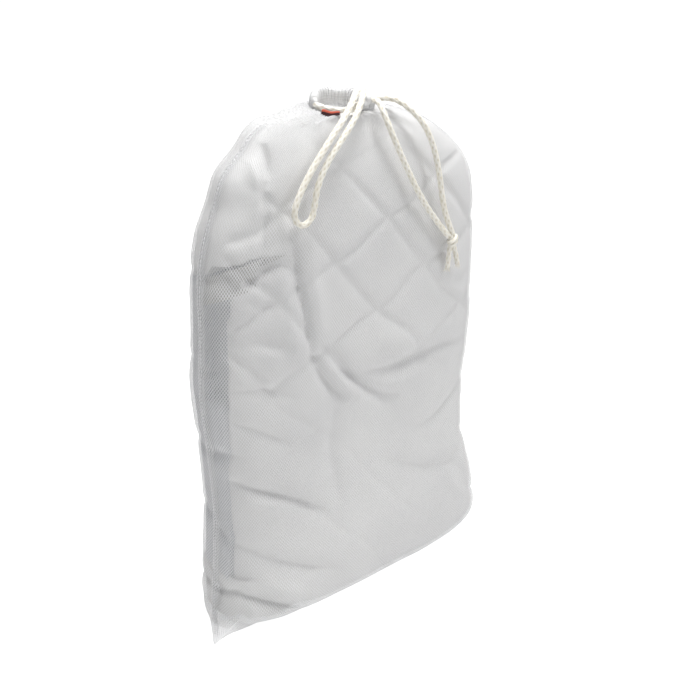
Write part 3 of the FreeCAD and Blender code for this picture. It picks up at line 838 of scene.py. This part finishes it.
def fray(name, place, direction):
    """Loose yarn ends at a cut end: thin tapered tubes that spread a little."""
    points, faces = [], []
    direction = np.asarray(direction, float) / np.linalg.norm(direction)
    side = np.cross(direction, (0, 1, 0))
    side /= np.linalg.norm(side)
    other = np.cross(direction, side)
    for _ in range(FRAY_YARNS):
        angle, spread = RANDOM.uniform(0, TAU), math.sqrt(RANDOM.uniform(0, 1))
        outward = side * math.cos(angle) + other * math.sin(angle)
        long = FRAY_LENGTH * RANDOM.uniform(0.6, 1.1)
        root = place + outward * spread * 2.1 * MM - direction * 1.0 * MM
        bend = RANDOM.uniform(-0.4, 0.4)
        faces += tube_faces(6, 5, len(points))
        for step in np.linspace(0, 1, 6):
            centre = root + direction * long * step + outward * long * 0.42 * spread * step**1.6
            centre = centre + side * long * bend * step**2 * 0.4
            size = 0.33 * MM * (1 - 0.6 * step)
            for turn in TAU * np.arange(5) / 5:
                points.append(centre + side * size * math.cos(turn) + other * size * math.sin(turn))
    # The frayed yarns get a little of the painted shade of the strand gaps.
    return mesh_object(name, points, faces, "cord", attributes={"gap": np.full(len(points), 0.15)})


def knot_route():
    """Slanted wraps of the overhand knot, wound tight round the cords that go through it."""
    low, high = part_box("drawcord_knot")
    centre = np.array((low + high) / 2)
    share = np.linspace(0, 1, 31)
    angle = TAU * KNOT_TURNS * share + 2.6
    pinch = 1 - 0.55 * (2 * np.abs(share - 0.5)) ** 5
    x = 4.4 * MM * np.cos(angle) * pinch
    y = 3.1 * MM * np.sin(angle) * pinch
    z = (share - 0.5) * 9.0 * MM + 0.34 * x
    return centre + np.stack([x, y, z], axis=1)


def free_cords():
    """The bight and the two ends with their knot and tails, as braided cord."""
    bight, path, length = braid_tube("cord_bight_loop", BIGHT_ROUTE)
    stand_for(bight, "drawcord_bight", "cord_bight")
    knot, _, _ = braid_tube("cord_knot", knot_route(), radius=2.35 * MM)
    stand_for(knot, "drawcord_knot", "cord_ends")
    on_ends = [knot]
    for letter, route in (("a", TAIL_A_ROUTE), ("b", TAIL_B_ROUTE)):
        tail, line, _ = braid_tube(f"cord_tail_{letter}", route, radius=2.7 * MM, taper_end=True)
        stand_for(tail, f"drawcord_tail_{letter}", "cord_ends")
        tuft = fray(f"cord_fray_{letter}", line[-1], line[-1] - line[-6])
        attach(tuft, "cord_ends")
        on_ends += [tail, tuft]
    for letter, route, others in (("a", END_A_ROUTE, on_ends), ("b", END_B_ROUTE, [])):
        end, path, length = braid_tube(f"cord_end_{letter}", route)
        stand_for(end, f"drawcord_end_{letter}", "cord_ends")


# ---------------------------------------------------------------- seams, stitches, casing, label


def shell_between(outer, inner):
    """A closed shell between two grids of the same size."""
    rows, columns = outer.shape[:2]
    count = rows * columns
    faces = grid_faces(rows, columns)
    faces += [tuple(count + corner for corner in reversed(face)) for face in grid_faces(rows, columns)]
    for j in range(columns - 1):
        faces.append((j + 1, j, count + j, count + j + 1))
        last = (rows - 1) * columns + j
        faces.append((last, last + 1, count + last + 1, count + last))
    for i in range(rows - 1):
        left, right = i * columns, i * columns + columns - 1
        faces.append((left, left + columns, count + left + columns, count + left))
        faces.append((right + columns, right, count + right, count + right + columns))
    return np.vstack([outer.reshape(-1, 3), inner.reshape(-1, 3)]), faces


def stitches(name, spans, radius=0.4 * MM):
    """Short rounded lengths of thread, one for each pair of end points."""
    points, faces = [], []
    for start, end in spans:
        start, end = np.asarray(start, float), np.asarray(end, float)
        ahead = end - start
        long = np.linalg.norm(ahead)
        if long < 1e-6:
            continue
        ahead /= long
        side = np.cross(ahead, (0.3, 1, 0.2))
        side /= np.linalg.norm(side)
        other = np.cross(ahead, side)
        faces += tube_faces(5, 6, len(points))
        for share, size in ((0, 0.35), (0.12, 0.9), (0.5, 1.08), (0.88, 0.9), (1, 0.35)):
            centre = start + ahead * long * share
            for turn in TAU * np.arange(6) / 6:
                points.append(centre + (side * math.cos(turn) + other * math.sin(turn)) * radius * size)
    return mesh_object(name, points, faces, "thread")


def evenly_along(line, step):
    """Points at equal steps along a line of points."""
    run = run_along(line)
    return points_along(line, run, np.arange(0, run[-1], step))


def running_stitches(line):
    """Start and end of each visible stitch along a line."""
    marks = evenly_along(line, 4.2 * MM)
    return [(mark, mark + (after - mark) * 0.72) for mark, after in zip(marks, marks[1:])]


def side_seam(side):
    """Seam allowance inside the net and, outside, straight stitches and the overlock's bars."""
    name = "left" if side < 0 else "right"
    picks = np.arange(SEAM_COLUMNS) if side < 0 else PANEL_COLUMNS - 1 - np.arange(SEAM_COLUMNS)
    rows = slice(12, int(PANEL_ROWS * 0.955))
    band = front_points[rows][:, picks]
    out = grid_normals(front_points, 1)[rows][:, picks]
    points, faces = shell_between(band - out * 0.6 * MM, band - out * 1.3 * MM)
    across = np.tile(np.arange(SEAM_COLUMNS) * 2.2 * MM, len(band))
    along = np.repeat(np.arange(len(band)) * 2.4 * MM, SEAM_COLUMNS)
    uvs = np.stack([across, along], axis=1)
    tape = mesh_object(f"{name}_seam_allowance", points, faces, "seam_tape", np.vstack([uvs, uvs + 0.0013]))
    stand_for(tape, f"{name}_side_seam")
    raised = band + out * 0.45 * MM
    edge = evenly_along(raised[:, 0], 3.4 * MM)
    inner = evenly_along(raised[:, 1], 3.4 * MM)
    spans = running_stitches(raised[:, 2]) + list(zip(edge[:-1], inner[1:]))
    threads = stitches(f"{name}_seam_stitches", spans, radius=0.5 * MM)
    stand_for(threads, f"{name}_seam_thread")


def bottom_seam():
    """The seam allowance on the bag's floor and its stitches, above the net's lowest rows."""
    low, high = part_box("bottom_seam")
    across = np.linspace(low.x, high.x, 130)
    wave = 0.35 * MM * np.sin(across * 210) + 0.25 * MM * np.sin(across * 530 + 1)
    outer = np.zeros((len(across), 5, 3))
    for j, y in enumerate(np.linspace(low.y, high.y, 5)):
        outer[:, j] = np.stack([across, y + wave, np.full(len(across), 1.9 * MM) + wave * 0.5], axis=1)
    inner = outer + mm((0, 0, 0.9))
    points, faces = shell_between(outer, inner)
    tape = mesh_object("bottom_seam_allowance", points, faces, "seam_tape", points[:, :2])
    stand_for(tape, "bottom_seam")
    threads = stitches("bottom_seam_stitches", running_stitches(inner[:, 2] + mm((0, 0, 0.3))))
    stand_for(threads, "bottom_seam_thread")


RING_PLEATS = 34


def ring_wave(angle):
    """Uneven pleating round the mouth, from -1 to 1."""
    return np.sin(RING_PLEATS * angle + 1.4 * np.sin(3 * angle + 0.5) + 0.8 * np.sin(5 * angle))


def cord_exit_swell(angle):
    """How far the casing swells round the cords that leave it: 1 at the front right, fading on both sides."""
    return np.exp(-((angle - math.radians(-22)) / math.radians(27)) ** 2)


def casing_piece(name, node, start, sweep, low, high, near, far):
    """A gathered tunnel of double net round part of the mouth, between two heights and two radii."""
    columns = int(sweep * 1.4)
    around = 44
    angles = np.radians(start + np.linspace(0, sweep, columns))[:, None]
    turn = np.linspace(0, TAU, around, endpoint=False)[None]
    wide, tall = signed_power(np.cos(turn), 0.8), signed_power(np.sin(turn), 0.8)
    swell = cord_exit_swell(angles)
    far, near, high = far + 13 * swell, near + 2 * swell, high + 3.5 * swell
    half, middle = (far - near) / 2, (far + near) / 2
    height_half, height_middle = (high - low) / 2, (high + low) / 2
    share = np.linspace(0, 1, columns)
    closing = smooth_step(share, 0, 0.06) * smooth_step(share[::-1], 0, 0.06)
    size = (0.35 + 0.65 * closing)[:, None]
    fold = 0.5 + 0.5 * ring_wave(angles)
    radius = middle + wide * half * size * (1 - 0.26 * fold**2) + 0.5 * np.sin(7 * angles)
    rise = height_middle + tall * height_half * size * (1 - 0.10 * fold)
    rise = rise + 0.7 * np.sin(4 * angles + 1) * (tall > 0)
    twist = 0.035 * np.cos(RING_PLEATS * angles) * tall
    rings = ring_point(angles + twist, radius * MM, rise * MM)
    points = np.vstack([rings.reshape(-1, 3), rings[[0, -1]].mean(1)])
    faces = grid_faces(columns, around, closed=True) + end_fans(columns, around)
    u = (angles / TAU * 2 * FLAT_WIDTH + 0 * turn).ravel()
    v = (0 * angles + turn / TAU * 0.05).ravel()
    uvs = np.stack([np.append(u, (u[0], u[-1])), np.append(v, (0, 0))], axis=1)
    # More gather in the folds closes the holes and darkens the colour there: painted shade in the casing's
    # folds.
    shade = np.append((fold + 0 * turn).ravel(), (0.5, 0.5))
    piece = mesh_object(name, points, faces, "casing", uvs, {"gather": 0.35 + 0.3 * shade})
    stand_for(piece, node)


def casing_stitches(name, node, start, sweep, radius, height):
    """The hem's row of stitches round part of the mouth."""
    spans = []
    for angle in np.radians(start + np.arange(3, sweep - 3, 7.0)):
        out = radius + 0.3 * math.sin(RING_PLEATS * angle)
        spans.append([ring_point(turn, out * MM, height * MM) for turn in (angle, angle + 0.085)])
    stand_for(stitches(name, spans), node)


def mouth():
    """The casing at the back and at the front left, its stitches, and the cord that runs in it."""
    casing_piece("back_hem", "back_casing", -46, 218, -7.5, 9.5, 16, 26)
    casing_piece("front_hem", "front_casing", 171, 78, -9.0, -2.6, 17, 26)
    casing_stitches("back_hem_stitches", "back_casing_thread", -14, 184, 26.3, -5.2)
    casing_stitches("front_hem_stitches", "front_casing_thread", 171, 76, 26.3, -6.6)
    angles = np.radians(np.linspace(-8, 345, 34))
    route = [ring_point(angle, RING_RADIUS + 0.6 * MM * math.sin(3 * angle), 0.8 * MM) for angle in angles]
    cord, _, _ = braid_tube("cord_round_mouth", route)
    stand_for(cord, "drawcord_in_casing")


def label():
    """A folded ribbon label, blank, sewn under the cord at the front left of the mouth."""
    angles = np.radians(np.linspace(204, 240, 30))[:, None]
    share = np.linspace(0, 1, 30)[:, None]
    drop = np.linspace(0, 1, 9)[None]
    height = 1.6 - drop * (6.4 - 3.6 * share) + 0.4 * np.sin(9 * share)
    radius = 27.2 + 0.7 * np.sin(3.1 * share) + 2.4 * drop
    outer = ring_point(angles, radius * MM, height * MM)
    inner = ring_point(angles, (radius - 0.6) * MM, height * MM)
    points, faces = shell_between(outer, inner)
    uv = np.stack([(share + 0 * drop).ravel(), (1 - drop + 0 * share).ravel()], axis=1)
    piece = mesh_object("blank_label", points, faces, "label", np.vstack([uv, uv]))
    stand_for(piece, "side_label")


# ---------------------------------------------------------------- load

# The pad, in millimetres: its gap to the net, its ends, and how far left it reaches at its front
# layers, behind them, and on the shelf that carries the folded sheet.
PAD_INSET = 1.6
PAD_LOW, PAD_HIGH = 2, 510
PAD_LEFT_LIMIT = 165
PAD_LEFT_BEHIND = 137
PAD_LEFT_AT_SHELF = 124
# The heights, in metres, over which the gap at the pad's left opens and closes, and the shelf begins.
GAP_OPENS = (0.250, 0.262)
GAP_CLOSES = (0.372, 0.384)
SHELF_BEGINS = (0.384, 0.397)
# Thickness of one folded layer of the pad.
PAD_LAYER = 15.5 * MM
PUFF_FRAMES = 20
# A slab's rounding is 1 for an ellipsoid and near 0 for a box.
SLAB_RINGS = 26
SLAB_SIDES = 48
SLAB_ROUNDING = 0.4


def pad_left_edge(y, z):
    """How far left the pad reaches: full at its front layers, less where other pieces lie beside it."""
    fold = -(9 + 13 * np.clip(z / 0.36, 0, 1)) * MM
    front_layers = 1 - smooth_step(y - fold, -5 * MM, 4 * MM)
    gap = smooth_step(z, *GAP_OPENS) * (1 - smooth_step(z, *GAP_CLOSES))
    behind = PAD_LEFT_BEHIND - 32 * gap
    lower = PAD_LEFT_LIMIT * front_layers + behind * (1 - front_layers)
    shelf = smooth_step(z, *SHELF_BEGINS)
    edge = lower * (1 - shelf) + PAD_LEFT_AT_SHELF * shelf
    return mm(np.minimum(edge, 98 + 1.5 * z / MM))


def pad_points(rows, columns):
    """Closed grid of the pad before its remesh: the bag's sections, set in, with rounded ends."""
    half = columns // 2
    points = np.zeros((rows, columns, 3))
    for i, z in enumerate(np.linspace(PAD_LOW, PAD_HIGH, rows)):
        right, left, ahead, behind, power = section_at(z)
        foot = 1 - math.sqrt(1 - (1 - min((z - PAD_LOW) / 8, 1)) ** 2)
        crown = 1 - math.sqrt(1 - (1 - min((PAD_HIGH - z) / 10, 1)) ** 2)
        inset = PAD_INSET + 7 * foot + 12 * crown
        for reach, span, sign in ((ahead, slice(0, half + 1), 1), (behind, slice(half + 1, columns), -1)):
            x, y, _ = half_section(right - inset, left - inset, max(reach - inset, 0.4), power, half + 1)
            if sign < 0:
                x, y = x[-2:0:-1], y[-2:0:-1]
            points[i, span, 0], points[i, span, 1] = x, y * sign
        points[i, :, 2] = z
    return points * MM


def keep_in_section(points, inset):
    """Draws points in towards the upright axis, and down, until they are inside the bag's rest shape."""
    right, left, ahead, behind, power = section_at(points[:, 2] / MM)
    wide = np.where(points[:, 0] > 0, right, left) - inset
    deep = np.where(points[:, 1] < 0, ahead, behind) - inset
    share = np.abs(points[:, 0] / MM / wide) ** power + np.abs(points[:, 1] / MM / deep) ** power
    scale = np.maximum(share, 1) ** (-1 / power)
    low_enough = np.minimum(points[:, 2], PAD_HIGH * MM)
    return np.stack([points[:, 0] * scale, points[:, 1] * scale, low_enough], axis=1)


def bake(piece):
    """Applies the piece's modifiers to its mesh and removes them."""
    bpy.context.view_layer.update()
    evaluated = piece.evaluated_get(bpy.context.evaluated_depsgraph_get())
    mesh = bpy.data.meshes.new_from_object(evaluated)
    piece.modifiers.clear()
    piece.data = mesh
    mesh.polygons.foreach_set("use_smooth", [True] * len(mesh.polygons))


def bake_modifier(piece, kind, **settings):
    """Adds a modifier with its settings, applies it and removes it."""
    modifier = piece.modifiers.new(kind.lower(), kind)
    for key, value in settings.items():
        setattr(modifier, key, value)
    bake(piece)


def remesh(piece, size):
    bake_modifier(piece, "REMESH", mode="VOXEL", voxel_size=size, use_smooth_shade=True)


def subdivide(piece):
    bake_modifier(piece, "SUBSURF", levels=1, render_levels=1)


def puff(piece, pinned, pressure, cap):
    """Blows the piece up as cloth, held at its pinned points, and lets no point move past the cap."""
    start = mesh_points(piece)
    group = piece.vertex_groups.new(name="pinned")
    for index in np.flatnonzero(pinned > 0.02):
        group.add([int(index)], float(pinned[index]), "REPLACE")
    cloth = piece.modifiers.new("cloth", "CLOTH")
    cloth.settings.vertex_group_mass = "pinned"
    cloth.settings.use_pressure = True
    cloth.settings.uniform_pressure_force = pressure
    cloth.settings.effector_weights.gravity = 0
    cloth.settings.tension_stiffness = 12
    cloth.settings.compression_stiffness = 12
    cloth.settings.bending_stiffness = 0.4
    cloth.point_cache.frame_start = 1
    cloth.point_cache.frame_end = PUFF_FRAMES
    for number in range(1, PUFF_FRAMES + 1):
        bpy.context.scene.frame_set(number)
    bake(piece)
    bpy.context.scene.frame_set(1)
    moved = mesh_points(piece) - start
    far = np.maximum(np.linalg.norm(moved, axis=1, keepdims=True), 1e-9)
    set_points(piece, start + moved * np.minimum(1, cap / far))


def points_inside_net(points, clearance):
    """Moves any point that is outside the net, or too near to it, to a clearance inside."""
    for net in (front_piece, back_piece):
        tree = BVHTree.FromObject(net, bpy.context.evaluated_depsgraph_get())
        for index, point in enumerate(points):
            nearest, normal, _, distance = tree.find_nearest(Vector(point), 0.02)
            if nearest is None:
                continue
            depth = (Vector(point) - nearest).dot(normal)
            if depth > -clearance:
                points[index] = nearest - normal * clearance
    return points


def keep_inside_net(piece, clearance):
    set_points(piece, points_inside_net(mesh_points(piece), clearance))


def quilt_lines(points, normals, width):
    """1 on a line of quilting, on the pad's front and back, fading to 0 over a width."""
    facing = smooth_step(np.abs(normals[:, 1]), 0.55, 0.85)
    gap = quilt_line_gap(points[:, 0], points[:, 2])
    return np.exp(-(gap / width) ** 2) * facing


def quilted_filling():
    """The folded bed pad: puffed between its quilting lines, with the bag's creases in it."""
    points = pad_points(120, 200)
    flat = points.reshape(-1, 3)
    left = mm(section_at(flat[:, 2] / MM)[1] - PAD_INSET)
    share = np.clip((-flat[:, 0] - 30 * MM) / (left - 30 * MM), 0, 1) ** 1.6
    flat[:, 0] += np.maximum(left - pad_left_edge(flat[:, 1], flat[:, 2]), 0) * share
    piece = mesh_object("quilted_filling", flat, tube_faces(*points.shape[:2]), "quilt")
    remesh(piece, 5.2 * MM)
    start, normals = mesh_points(piece), mesh_points(piece, "normal")
    set_points(piece, start + normals * wall_relief(start, normals)[:, None])
    pinned = quilt_lines(mesh_points(piece), normals, 3.4 * MM)
    puff(piece, np.clip(pinned * 1.3, 0, 1), 4.0, 5 * MM)
    subdivide(piece)
    points, normals = mesh_points(piece), mesh_points(piece, "normal")
    groove = 2.1 * MM * quilt_line_depth(points[:, 2]) * quilt_lines(points, normals, 2.6 * MM)
    groove += pad_layer_grooves(points, normals)
    set_points(piece, points - normals * groove[:, None])
    keep_inside_net(piece, 1.4 * MM)
    stand_for(piece, "quilted_pad")


def pad_layer_grooves(points, normals):
    """Grooves between the pad's folded layers, on its sides, where their edges show."""
    facing = smooth_step(np.abs(normals[:, 0]), 0.5, 0.85) * smooth_step(points[:, 2], 0.03, 0.06)
    wander = 2.5 * MM * np.sin(points[:, 2] * 21) + 1.2 * MM * np.sin(points[:, 2] * 57 + 1)
    place = (points[:, 1] + wander + 4 * MM) / PAD_LAYER
    gap = np.abs(place - np.round(place)) * PAD_LAYER
    return 3.2 * MM * np.exp(-(gap / (2.2 * MM)) ** 2) * facing


def slab(low, high):
    """Rings of points of a rounded slab between two corners."""
    centre, half = (low + high) / 2, (high - low) / 2
    tilt = (-math.pi / 2 + math.pi * (np.arange(SLAB_RINGS) + 0.5) / SLAB_RINGS)[:, None]
    turn = (TAU * np.arange(SLAB_SIDES) / SLAB_SIDES)[None]
    reach = signed_power(np.cos(tilt), SLAB_ROUNDING)
    unit = [reach * signed_power(np.cos(turn), SLAB_ROUNDING),
            reach * signed_power(np.sin(turn), SLAB_ROUNDING),
            signed_power(np.sin(tilt), SLAB_ROUNDING) + 0 * turn]
    return centre + half * np.stack(unit, axis=-1)


def folded_piece(name, node, slot, slabs, crumple, seed):
    """A folded cloth made of rounded layers that are remeshed into one closed skin and crumpled."""
    points, faces = [], []
    for low, high in slabs:
        faces += tube_faces(SLAB_RINGS, SLAB_SIDES, len(points))
        points += list(slab(mm(low), mm(high)).reshape(-1, 3))
    piece = mesh_object(name, points, faces, slot)
    remesh(piece, 3.2 * MM)
    subdivide(piece)
    places, normals = mesh_points(piece), mesh_points(piece, "normal")
    rough = value_noise(places, 0.05, seed) * crumple + value_noise(places, 0.018, seed + 1) * crumple * 0.35
    ridged = 1 - np.abs(value_noise(places * np.array([1, 1, 0.6]), 0.03, seed + 2))
    rough = rough + (ridged**3 - 0.3) * crumple * 0.6
    places = places + normals * (rough * MM)[:, None]
    set_points(piece, keep_in_section(places, 3))
    keep_inside_net(piece, 2.4 * MM)
    stand_for(piece, node)


def layers(low, high, axis, count, overlap, wobble):
    """Cuts a box into overlapping slabs along an axis, each with slightly different ends."""
    low, high = np.asarray(low, float), np.asarray(high, float)
    step = (high[axis] - low[axis]) / count
    slabs = []
    for i in range(count):
        a, b = low.copy(), high.copy()
        a[axis] = low[axis] + i * step - overlap
        b[axis] = low[axis] + (i + 1) * step + overlap
        for other in {0, 1, 2} - {axis}:
            a[other] += RANDOM.uniform(0, wobble)
            b[other] -= RANDOM.uniform(0, wobble)
        slabs.append((a, b))
    return slabs


# The part of each net panel's grid that the cloth in the corner lies behind.
CORNER_ROWS = slice(28, 46)
CORNER_COLUMNS = slice(1, 58)
# The sheet's flap: where its front corner leaves the shelf, its flat size, how far it is straight,
# over what length and how far it bends down, and how much it slopes towards the back.
FLAP_ROOT = mm((-117, -48, 401))
FLAP_LENGTH = 0.070
FLAP_WIDTH = 0.086
FLAP_STRAIGHT = 42 * MM
FLAP_BEND = 6 * MM
FLAP_DROOP = math.radians(84)
FLAP_SLANT = 0.42


def sheet_flap():
    """A loose flap of the sheet that lies on the pad's shelf and droops over the top of the gap."""
    across = np.linspace(FLAP_ROOT[1], FLAP_ROOT[1] + FLAP_WIDTH, 40)[None]
    along = np.linspace(0, FLAP_LENGTH, 44)[:, None]
    turn = np.clip((along - FLAP_STRAIGHT) / FLAP_BEND, 0, 1) * FLAP_DROOP
    steps = np.diff(along, axis=0, prepend=along[:1])
    x = FLAP_ROOT[0] - np.cumsum(np.cos(turn) * steps, axis=0)
    z = FLAP_ROOT[2] - np.cumsum(np.sin(turn) * steps, axis=0) - FLAP_SLANT * (across - FLAP_ROOT[1])
    wave = np.sin(across * 190 + 1) * 2.0 * MM * (along / FLAP_LENGTH) ** 1.3
    outer = np.stack([x + wave * np.sin(turn), across + 0 * along, z + wave * np.cos(turn) * 0.5], axis=-1)
    rounded = points_inside_net(keep_in_section(outer.reshape(-1, 3), 3), 2 * MM).reshape(outer.shape)
    points, faces = shell_between(rounded, rounded - grid_normals(rounded, 1) * 1.6 * MM)
    piece = mesh_object("loose_sheet_flap", points, faces, "sheet")
    # The flap takes a darker copy of the sheet's cloth: painted shade, for the shade it hangs in over the
    # gap.
    piece.data.materials[0] = woven_material(
        "sheet_in_painted_shade", (0.62, 0.605, 0.575), (0.54, 0.525, 0.50), *PERCALE)
    stand_for(piece, "sheet_flap")


def corner_cloth():
    """A crumpled cloth in the lower left corner, close behind the net of both panels."""
    points, faces = [], []
    for surface, sense in ((front_points, 1), (back_points, -1)):
        inward = -grid_normals(surface, sense)[CORNER_ROWS, CORNER_COLUMNS]
        near = surface[CORNER_ROWS, CORNER_COLUMNS]
        crumple = np.abs(value_noise(near.reshape(-1, 3), 0.026, 41)).reshape(near.shape[:2])
        outer = near + inward * ((1.2 + 4 * crumple) * MM)[..., None]
        shell, sides = shell_between(outer, outer + inward * 2.2 * MM)
        faces += [tuple(len(points) + corner for corner in side) for side in sides]
        points += list(shell)
    points = points_inside_net(np.array(points), 0.6 * MM)
    piece = mesh_object("corner_cloth_piece", points, faces, "sheet")
    stand_for(piece, "corner_cloth")


def load():
    """Everything in the bag: the pad, the folded sheet, the towel, the crumpled cloth and the flap."""
    quilted_filling()
    bundle = layers((-190, -60, 386), (-116, 60, 535), 1, 5, 1.2, 3)
    for (low, _), rise in zip(bundle, (15, 9, 0, -9, -15)):
        low[2] += rise
    folded_piece("folded_sheet", "upper_sheet_bundle", "sheet", bundle, 1.0, 21)
    towel = layers((-190, -22, 44), (-140, 60, 262), 1, 4, 1.5, 3)
    for (_, high), rise in zip(towel, (0, 40, 56, 64)):
        high[2] += rise
    # The last two slabs fill the gap at the left, where the bag holds only empty space in shade: grey towel
    # put there as painted shade.
    towel += [((-176, 8, 246), (-136, 60, 384)), ((-150, -16, 246), (-104, 20, 384))]
    folded_piece("folded_towel_and_gap_shade", "side_towel", "towel", towel, 0.9, 31)
    corner_cloth()
    sheet_flap()


add_camera()
free_cords()
front_piece, front_points = net_panel(True)
back_piece, back_points = net_panel(False)
side_seam(-1)
side_seam(1)
bottom_seam()
mouth()
label()
load()
add_studio()
